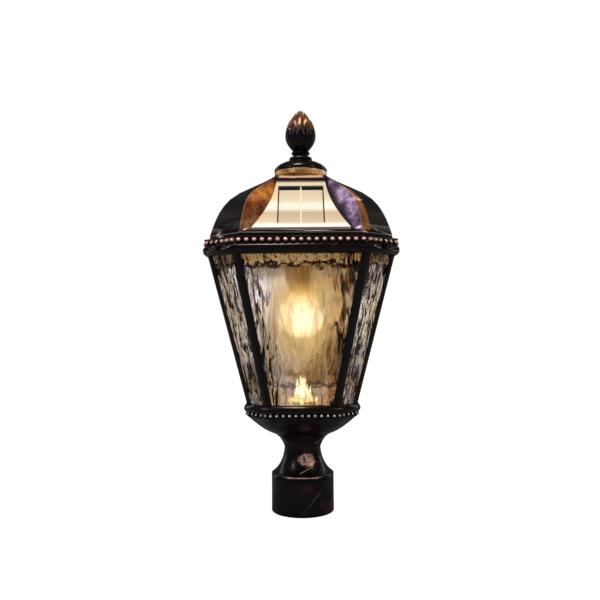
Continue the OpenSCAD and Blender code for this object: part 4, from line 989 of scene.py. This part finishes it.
@dataclass
class Finial:
    """The leafy bud on its turned stem, with a twisted ring at its foot; heights count from there."""

    base_z: float = 486.0
    height: float = 72.0
    bud_z: float = 15.0
    bud_r: float = 20.3

    def bud_at(self, up: float) -> float:
        """Gives the bud's outline.

        Args:
            up: height above the finial's foot, in millimetres.

        Returns:
            The bud's radius there, in millimetres.
        """
        u = max(0.0, min(1.0, (up - self.bud_z) / (self.height - self.bud_z)))
        if u < 0.34:
            share = sin(radians(90 * (0.35 + 0.65 * u / 0.34)))
        else:
            share = max(0.0, cos(radians(90 * (u - 0.34) / 0.66))) ** 0.82
        return self.bud_r * share

    def core(self) -> BMesh:
        """Returns the turned core: foot, stem, collar and the bud under its leaves."""
        profile = [(0.0, 0.0), (14.0, 0.0), (14.0, 2.0), (12.6, 4.0), (10.6, 5.6), (9.8, 7.6), (10.4, 9.0),
                   (12.4, 10.2), (12.9, 11.4), (12.0, 12.8), (9.4, 13.8)]
        steps = 28
        for step in range(steps + 1):
            up = self.bud_z + (self.height - 2.0 - self.bud_z) * step / steps
            profile.append((max(0.0, self.bud_at(up) - 2.2), up))
        profile.append((0.0, self.height - 1.6))
        return turned(profile, self.base_z, 64)

    def leaf(self, bm: BMesh, angle: float, low: float, high: float, half: float,
             lift: float, flare: float) -> None:
        """Adds one pointed leaf that lies on the bud.

        Args:
            bm: the mesh to add to.
            angle: the leaf's direction round the bud, in degrees.
            low: height of its root.
            high: height of its tip.
            half: half width at its widest, in degrees.
            lift: how far its middle stands out from the bud.
            flare: how far its tip bends outwards.
        """
        grid = bmesh.ops.create_grid(bm, x_segments=8, y_segments=14, size=0.5)
        faces = list(dict.fromkeys(face for vert in grid["verts"] for face in vert.link_faces))
        for vert in grid["verts"]:
            u, v = 2 * vert.co.x, vert.co.y + 0.5
            spread = half * (sin(pi * min(1.0, 0.22 + 0.78 * v)) ** 0.7 if v < 1 else 0.0)
            up = low + (high - low) * v
            turn = radians(angle + spread * u)
            vein = 0.45 * exp(-(u / 0.12) ** 2)
            radius = self.bud_at(min(up, self.height - 1)) + lift * (1 - u * u) - 1.5 + flare * v ** 4 + vein
            vert.co = Vector((radius * sin(turn), -radius * cos(turn), self.base_z + up)) * MM
        bmesh.ops.solidify(bm, geom=faces, thickness=-0.9 * MM)

    def build(self, finish: Material) -> None:
        """Builds core, twisted ring and three rows of leaves as one piece.

        Args:
            finish: its material.
        """
        bm = self.core()
        for count, offset, low, high, half, lift, flare in (
                (6, 0, 14.5, 45.0, 33, 2.2, 1.3), (6, 30, 17.0, 57.0, 31, 1.9, 0.8),
                (5, 0, 34.0, 70.0, 38, 1.6, 0.0)):
            for number in range(count):
                self.leaf(bm, offset + 360 * number / count, low, high, half, lift, flare)
        twisted_ring(bm, 13.2, 2.9, self.base_z + 2.9, 15)
        bmesh.ops.recalc_face_normals(bm, faces=bm.faces)
        new_piece("leafy_finial", bm, finish, Body.ROOF, ("finial",), 40.0)


@dataclass(frozen=True)
class Pane:
    """The corners of a pane's outer surface, in millimetres, and the direction that points inwards."""

    low_a: Vector
    low_b: Vector
    high_a: Vector
    high_b: Vector
    inward: Vector

    @property
    def head(self) -> float:
        """Returns the pane's width at its head, in millimetres."""
        return (self.high_b - self.high_a).length

    def width(self, up: float) -> float:
        """Returns the pane's width at a share of its height, in millimetres."""
        foot = (self.low_b - self.low_a).length
        return foot + (self.head - foot) * up

    def point(self, across: float, up: float) -> Vector:
        """Returns the point at two shares, across and up the pane."""
        return self.low_a.lerp(self.low_b, across).lerp(self.high_a.lerp(self.high_b, across), up)


@dataclass
class GlassCage:
    """Eight rippled panes on the tapered faces of the cage; sizes in millimetres."""

    foot_a: float = 73.9
    head_a: float = 119.4
    foot_run: float = 28.0
    head_run: float = 39.0
    foot_z: float = 154.5
    head_z: float = 346.5
    post_t: float = 2.6
    gap: float = 0.3
    thick: float = 3.0
    margin: float = 4.2
    cell_mm: float = 1.7
    # Depth of the ripples, and the width and length of one ripple
    ripple_mm: float = 0.9
    ripple_w: float = 9.0
    ripple_l: float = 34.0

    def corner(self, index: int, share: float) -> Vector:
        """Finds a corner of the cage.

        Args:
            index: number of the corner, counted from the front's right end; it may run past 7.
            share: height as a share of the cage's.

        Returns:
            The corner's place, in millimetres.
        """
        a = self.foot_a + (self.head_a - self.foot_a) * share
        b = a - (self.foot_run + (self.head_run - self.foot_run) * share)
        x, y = octagon(a, b)[index % 8]
        return Vector((x, y, self.foot_z + (self.head_z - self.foot_z) * share))

    def ripple(self, across: float, up: float, seed: float) -> float:
        """Gives the glass's relief.

        Args:
            across: distance along the pane's width, in millimetres.
            up: height on the pane, in millimetres.
            seed: shifts the pattern from pane to pane.

        Returns:
            Its depth, from 0 to 1.
        """
        sway = 7.0 * noise.noise(Vector((across / 30, up / 38, seed + 4)))
        long = noise.noise(Vector(((across + sway) / self.ripple_w, up / self.ripple_l, seed)))
        short = noise.noise(Vector(((across + sway) / 4.2, up / 12, seed + 9)))
        value = 0.5 + 0.62 * long + 0.22 * short
        return min(1.0, max(0.0, value))

    def pane(self, index: int) -> Pane:
        """Lays out the pane on one face of the cage.

        Args:
            index: number of the face's first corner.

        Returns:
            The pane.
        """
        ends = []
        for share in (1.0, 0.0):
            first, second = self.corner(index, share), self.corner(index + 1, share)
            along = (second - first).normalized()
            inward = Vector((-along.y, along.x, 0))
            near = inward * (self.post_t + self.gap)
            ends = [first + along * self.margin + near, second - along * self.margin + near, *ends]
        return Pane(*ends, inward)

    def build(self, name: str, index: int, finish: Material) -> None:
        """Builds one pane on the face that starts at a corner of the plan.

        Args:
            name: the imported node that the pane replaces.
            index: number of the face's first corner.
            finish: the glass.
        """
        pane = self.pane(index)
        high_mm = self.head_z - self.foot_z
        wide = max(4, round(pane.head / self.cell_mm))
        tall = max(4, round((pane.high_a - pane.low_a).length / (self.cell_mm * 1.6)))
        bm = bmesh.new()
        across, up, outer, narrow, sideways = (
            bm.verts.layers.float.new(layer) for layer in ("across", "up", "outer", "narrow", "sideways"))
        flat = bm.verts.layers.float_vector.new("flat")
        bmesh.ops.create_grid(bm, x_segments=wide, y_segments=tall, size=0.5)
        extruded = bmesh.ops.extrude_face_region(bm, geom=list(bm.faces))
        inner = {part for part in extruded["geom"] if isinstance(part, BMVert)}
        seed = 3.7 * index
        # The narrow panes stand aslant; on the others, sideways runs from -1 at the left or front to 1
        inward = pane.inward
        slant = min(abs(inward.x), abs(inward.y)) > 0.5
        reach = pane.head / 2 * MM
        for vert in bm.verts:
            u, v = vert.co.x + 0.5, vert.co.y + 0.5
            vert[across], vert[up] = 2 * u - 1, v
            vert[flat] = Vector(((u - 0.5) * pane.width(v), v * high_mm, seed))
            inset = inward * self.thick
            if vert not in inner:
                vert[outer] = 1.0
                inset = inward * self.ripple((u - 0.5) * pane.head, v * high_mm, seed) * self.ripple_mm
            vert.co = (pane.point(u, v) + inset) * MM
            vert[narrow] = 1.0 if slant else 0.0
            place = vert.co.x if abs(inward.y) > abs(inward.x) else vert.co.y
            vert[sideways] = 0.0 if slant else place / reach
        bmesh.ops.recalc_face_normals(bm, faces=bm.faces)
        new_piece("rippled_" + name, bm, finish, Body.LANTERN, (name,), 60.0)


# Studio


@dataclass
class Studio:
    """The photograph's camera, a pale floor and soft lights."""

    distance_mm: float = 929.0
    height_mm: float = 268.5
    lens_mm: float = 39.83
    roll_deg: float = 0.39
    shift_x: float = -0.0028
    shift_y: float = 0.0287
    # Power of the bulb's light in watts, its radius and its height
    bulb_w: float = 4.2
    bulb_r_mm: float = 31.0
    bulb_z_mm: float = 269.4

    def camera(self) -> None:
        """Makes the level camera in front of the lantern."""
        data = bpy.data.cameras.new("camera")
        data.lens = self.lens_mm
        data.sensor_width = 36.0
        data.shift_x = self.shift_x
        data.shift_y = self.shift_y
        data.clip_start = 0.01
        camera = placed("camera", data)
        camera.location = (0, -self.distance_mm * MM, self.height_mm * MM)
        camera.rotation_euler = (pi / 2, radians(self.roll_deg), 0)
        bpy.context.scene.camera = camera

    def floor(self) -> None:
        """Makes the pale floor under the fitter."""
        bm = bmesh.new()
        bmesh.ops.create_circle(bm, cap_ends=True, segments=64, radius=6.0)
        mesh = bpy.data.meshes.new("floor")
        bm.to_mesh(mesh)
        bm.free()
        mesh.materials.append(PaperFloor("white_paper_floor").build())
        floor = placed("floor", mesh)
        floor.location = (0, 0, -0.5 * MM)

    def world(self) -> None:
        """Makes the white backdrop, dimmer for what the lantern reflects and refracts."""
        world = bpy.data.worlds.new("studio")
        bpy.context.scene.world = world
        world.use_nodes = True
        net = Net(world.node_tree)
        net.tree.nodes.clear()
        rays = net.add("LightPath").outputs
        seen, through, other, mirrored = (
            net.add("Background", {"Color": colour, "Strength": strength}) for colour, strength in (
                (grey(1.0), 1.0), ("f6f4fa", 1.75), ("f4f0f4", 1.0), (grey(1.0), 0.07)))
        bounced = net.add("Math", (rays["Is Glossy Ray"], rays["Is Transmission Ray"]), {
            "operation": "SUBTRACT", "use_clamp": True})
        glossy = net.add("MixShader", (bounced, other, mirrored))
        passed = net.add("MixShader", (rays["Is Transmission Ray"], glossy, through))
        net.add("OutputWorld", {"Surface": net.add("MixShader", (rays["Is Camera Ray"], passed, seen))})

    def light(self, name: str, place: tuple, aim: tuple, size: tuple, power: float, colour: str) -> None:
        """Adds one rectangular soft light.

        Args:
            name: the light's name.
            place: its position in metres.
            aim: the point that it faces.
            size: its width and height in metres.
            power: its power in watts.
            colour: its sRGB hex colour.
        """
        data = bpy.data.lights.new(name, "AREA")
        data.shape = "RECTANGLE"
        data.size, data.size_y = size
        data.energy = power
        data.color = tone(colour)[:3]
        lamp = placed(name, data)
        lamp.location = place
        facing = Vector(aim) - Vector(place)
        lamp.rotation_euler = facing.to_track_quat("-Z", "Y").to_euler()

    def bulb_light(self, globe: Object) -> None:
        """Makes the light that the bulb gives: a sphere just larger than the globe, and moved with it.

        Args:
            globe: the bulb's globe.
        """
        data = bpy.data.lights.new("bulb_light", "POINT")
        data.energy = self.bulb_w
        data.color = tone("ffcc7c")[:3]
        data.shadow_soft_size = self.bulb_r_mm * MM
        lamp = placed("bulb_light", data)
        lamp.location = (0, 0, self.bulb_z_mm * MM)
        lamp.visible_camera = False
        lamp.visible_transmission = False
        lamp.visible_glossy = False
        lamp.parent = globe

    def build(self, globe: Object) -> None:
        """Makes floor, world and lights.

        Args:
            globe: the bulb's globe, which its light moves with.
        """
        self.floor()
        self.world()
        self.bulb_light(globe)
        self.light("overhead", (-0.2, -0.5, 1.8), (0, 0, 0.4), (0.5, 0.5), 16, "fff8f0")
        self.light("front_left", (-1.3, -0.9, 1.2), (0, 0, 0.4), (0.25, 0.6), 3, "efe4ff")
        self.light("front_right", (1.3, -0.9, 1.2), (0, 0, 0.4), (0.25, 0.6), 3, "ffe4c8")
        # Two strips behind the lantern draw a thin pale line along its outline
        self.light("back_left", (-1.3, 0.8, 0.7), (0, 0, 0.35), (0.12, 1.2), 1.6, "fff2e0")
        self.light("back_right", (1.3, 0.8, 0.7), (0, 0, 0.35), (0.12, 1.2), 1.6, "fff2e0")
        scene = bpy.context.scene
        scene.view_settings.view_transform = "Standard"
        scene.view_settings.look = "None"


def main() -> None:
    """Builds and dresses the lantern."""
    logging.basicConfig(level=logging.INFO, format="%(name)s: %(message)s")
    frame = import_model()
    nodes = frame["nodes"]
    studio = Studio()
    studio.camera()

    # Painted highlights: a bright patch and streaks on the fitter, bright lines along the bowl's facet edges
    fitter = RubbedBronze("oil_rubbed_bronze_fitter", spots=((7, -29, 75, 15, 12, 10),), bright="e2b6a4",
                          glint_lines=((-6, 57, 14, 66, 0.9), (2, 8, 28, 38, 0.35),
                                  (-30, 53.2, 30, 53.0, 1.0))).build()
    bowl = RubbedBronze("oil_rubbed_bronze_bowl", coat="221914", bright="b8a69c",
                        glint_lines=((-34, 111, -19, 95, 1.9), (36, 111, 16, 95, 1.9))).build()
    # Painted highlights on the rims' beads, where the mesh attribute marks them
    rim = RubbedBronze("oil_rubbed_bronze_rims", coat="100807", rub="35191a", gold="6a3a34", rubbed=0.25,
                       roughness=0.24, cloud_mm=9.0, glint_attribute="glints", bright="e8b8aa").build()
    glinting_foot_rim = RubbedBronze("oil_rubbed_bronze_foot_rim", coat="100807", rub="2c1412", gold="5a3028",
                          rubbed=0.2, roughness=0.24, cloud_mm=9.0, glint_attribute="glints", bright="f4ece6").build()
    roof = MottledRoofBronze("mottled_bronze_roof").build()
    tip = RubbedBronze("near_black_bronze_finial", rub="2c150c", gold="6e4020", rubbed=0.2, cloud_mm=10,
                       roughness=0.32, gilt=(524.0, 542.0)).build()
    black = RubbedBronze("near_black_bronze", rubbed=0.1, roughness=0.22).build()
    # Painted reflection of the sky on the panel frames
    pale = SkyLitSheet("bronze_with_painted_sky_reflection").build()
    steel = SmoothMetal("zinc_plated_steel").build()
    brass = SmoothMetal("satin_brass", "c9a866", "a98646").build()
    blackened = SmoothMetal("blackened_steel", "2a2420", "1a1614", roughness=0.35).build()
    tray = SmoothMetal("brassy_enamel", "c2a05c", "7c5a2c", metallic=0.2, roughness=0.35,
                       grain_mm=7.0).build()
    # Painted light: the reflector cone and the bulb's housing glow as if lit by the bulb
    reflector_glow = Glow("lit_reflector", "ffd98a", "fff4cc", 3.4, 178.0, 32.0).build()
    lit_white = Glow("lit_white_thermoset", "c88a48", "ffd890", 1.1, 294.0, 24.0, 0.15).build()
    warm = SmoothMetal("brown_enamel", "9a6c3a", "5e3c1e", metallic=0.2, roughness=0.35, grain_mm=6.0).build()
    # Painted reflection of the sky on the cells, painted black at their top for the shadow of the frame's
    # recess
    solar = SkyLitSheet("solar_cell_silicon", roughness=0.12, recess_shadow_mm=436.4).build()
    border = PanelBorder("solar_laminate").build()
    glass = RippledGlass("rippled_water_glass").build()
    glow = Glow("frosted_bulb_glass", strength=2.6, edge=0.3, between=0.5).build()
    rubber = Moulded("black_rubber", "161616", "0e0e0e", 0.7).build()
    box = Moulded("black_abs").build()
    nylon = Moulded("natural_nylon", "e8e6da", "d6d2c4", 0.45).build()
    green = Moulded("solder_mask", "0f5a2c", "0b4421", 0.3, 2.0).build()
    sleeve = Moulded("cell_sleeve", "2a8f52", "1f7340", 0.3, 4.0).build()
    red = Moulded("red_abs", "b02018", "8e1710", 0.35).build()

    castings = Castings(nodes)
    castings.soften("post_fitter", fitter, Body.LANTERN)
    castings.soften("base_bowl", bowl, Body.LANTERN)
    BeadedRim(nodes["bottom_rim"], 140.4, 73.4, 28.0, 2.7, 8.2).build("bottom_rim", glinting_foot_rim, 0.8, 0.5)
    BeadedRim(nodes["top_rim"], 362.7, 122.0, 41.0, 3.4, 9.77).build("top_rim", rim, 0.55, 0.6)
    for number in range(1, 9):
        castings.soften(f"corner_post_{number}", black, Body.LANTERN, 0.4)
    RoofCasting(nodes["roof_shell"]).build(roof)
    castings.soften("roof_cap", black, Body.ROOF)
    Finial().build(tip)
    sides = ("front", "right", "rear", "left")
    for side in sides:
        castings.soften(f"panel_frame_{side}", pale, Body.ROOF, 0.3)
        dress(nodes[f"solar_panel_{side}"], border)

    cage = GlassCage()
    for index, side in zip((7, 1, 3, 5), sides):
        cage.build(f"glass_{side}", index, glass)
    for number in range(4):
        cage.build(f"corner_glass_{number + 1}", 2 * number, glass)

    finishes = {
        "neck_nipple": brass, "nipple_nuts": steel, "base_plate": tray, "base_screws": steel,
        "reflector_cone": reflector_glow, "glass_clips": brass, "roof_gasket": rubber, "roof_screws": blackened,
        "set_screw_rear": blackened, "set_screw_left": blackened, "set_screw_right": blackened,
        "solar_cells": solar, "frame_screws": steel, "finial_stud": steel, "finial_nut": steel,
        "ceiling_tray": tray, "tray_screws": steel, "circuit_board": green, "board_spacers": nylon,
        "battery_box": box, "batteries": sleeve, "battery_contacts": brass, "battery_cover": box,
        "switch_body": box, "switch_knob": red, "lamp_socket": warm, "bulb_cap": steel,
        "bulb_housing": lit_white, "bulb_globe": glow,
    }
    for name, material in finishes.items():
        dress(nodes[name], material)
        LOG.info("dressed %s", name)

    studio.build(nodes["bulb_globe"])


if __name__ == "__main__":
    main()
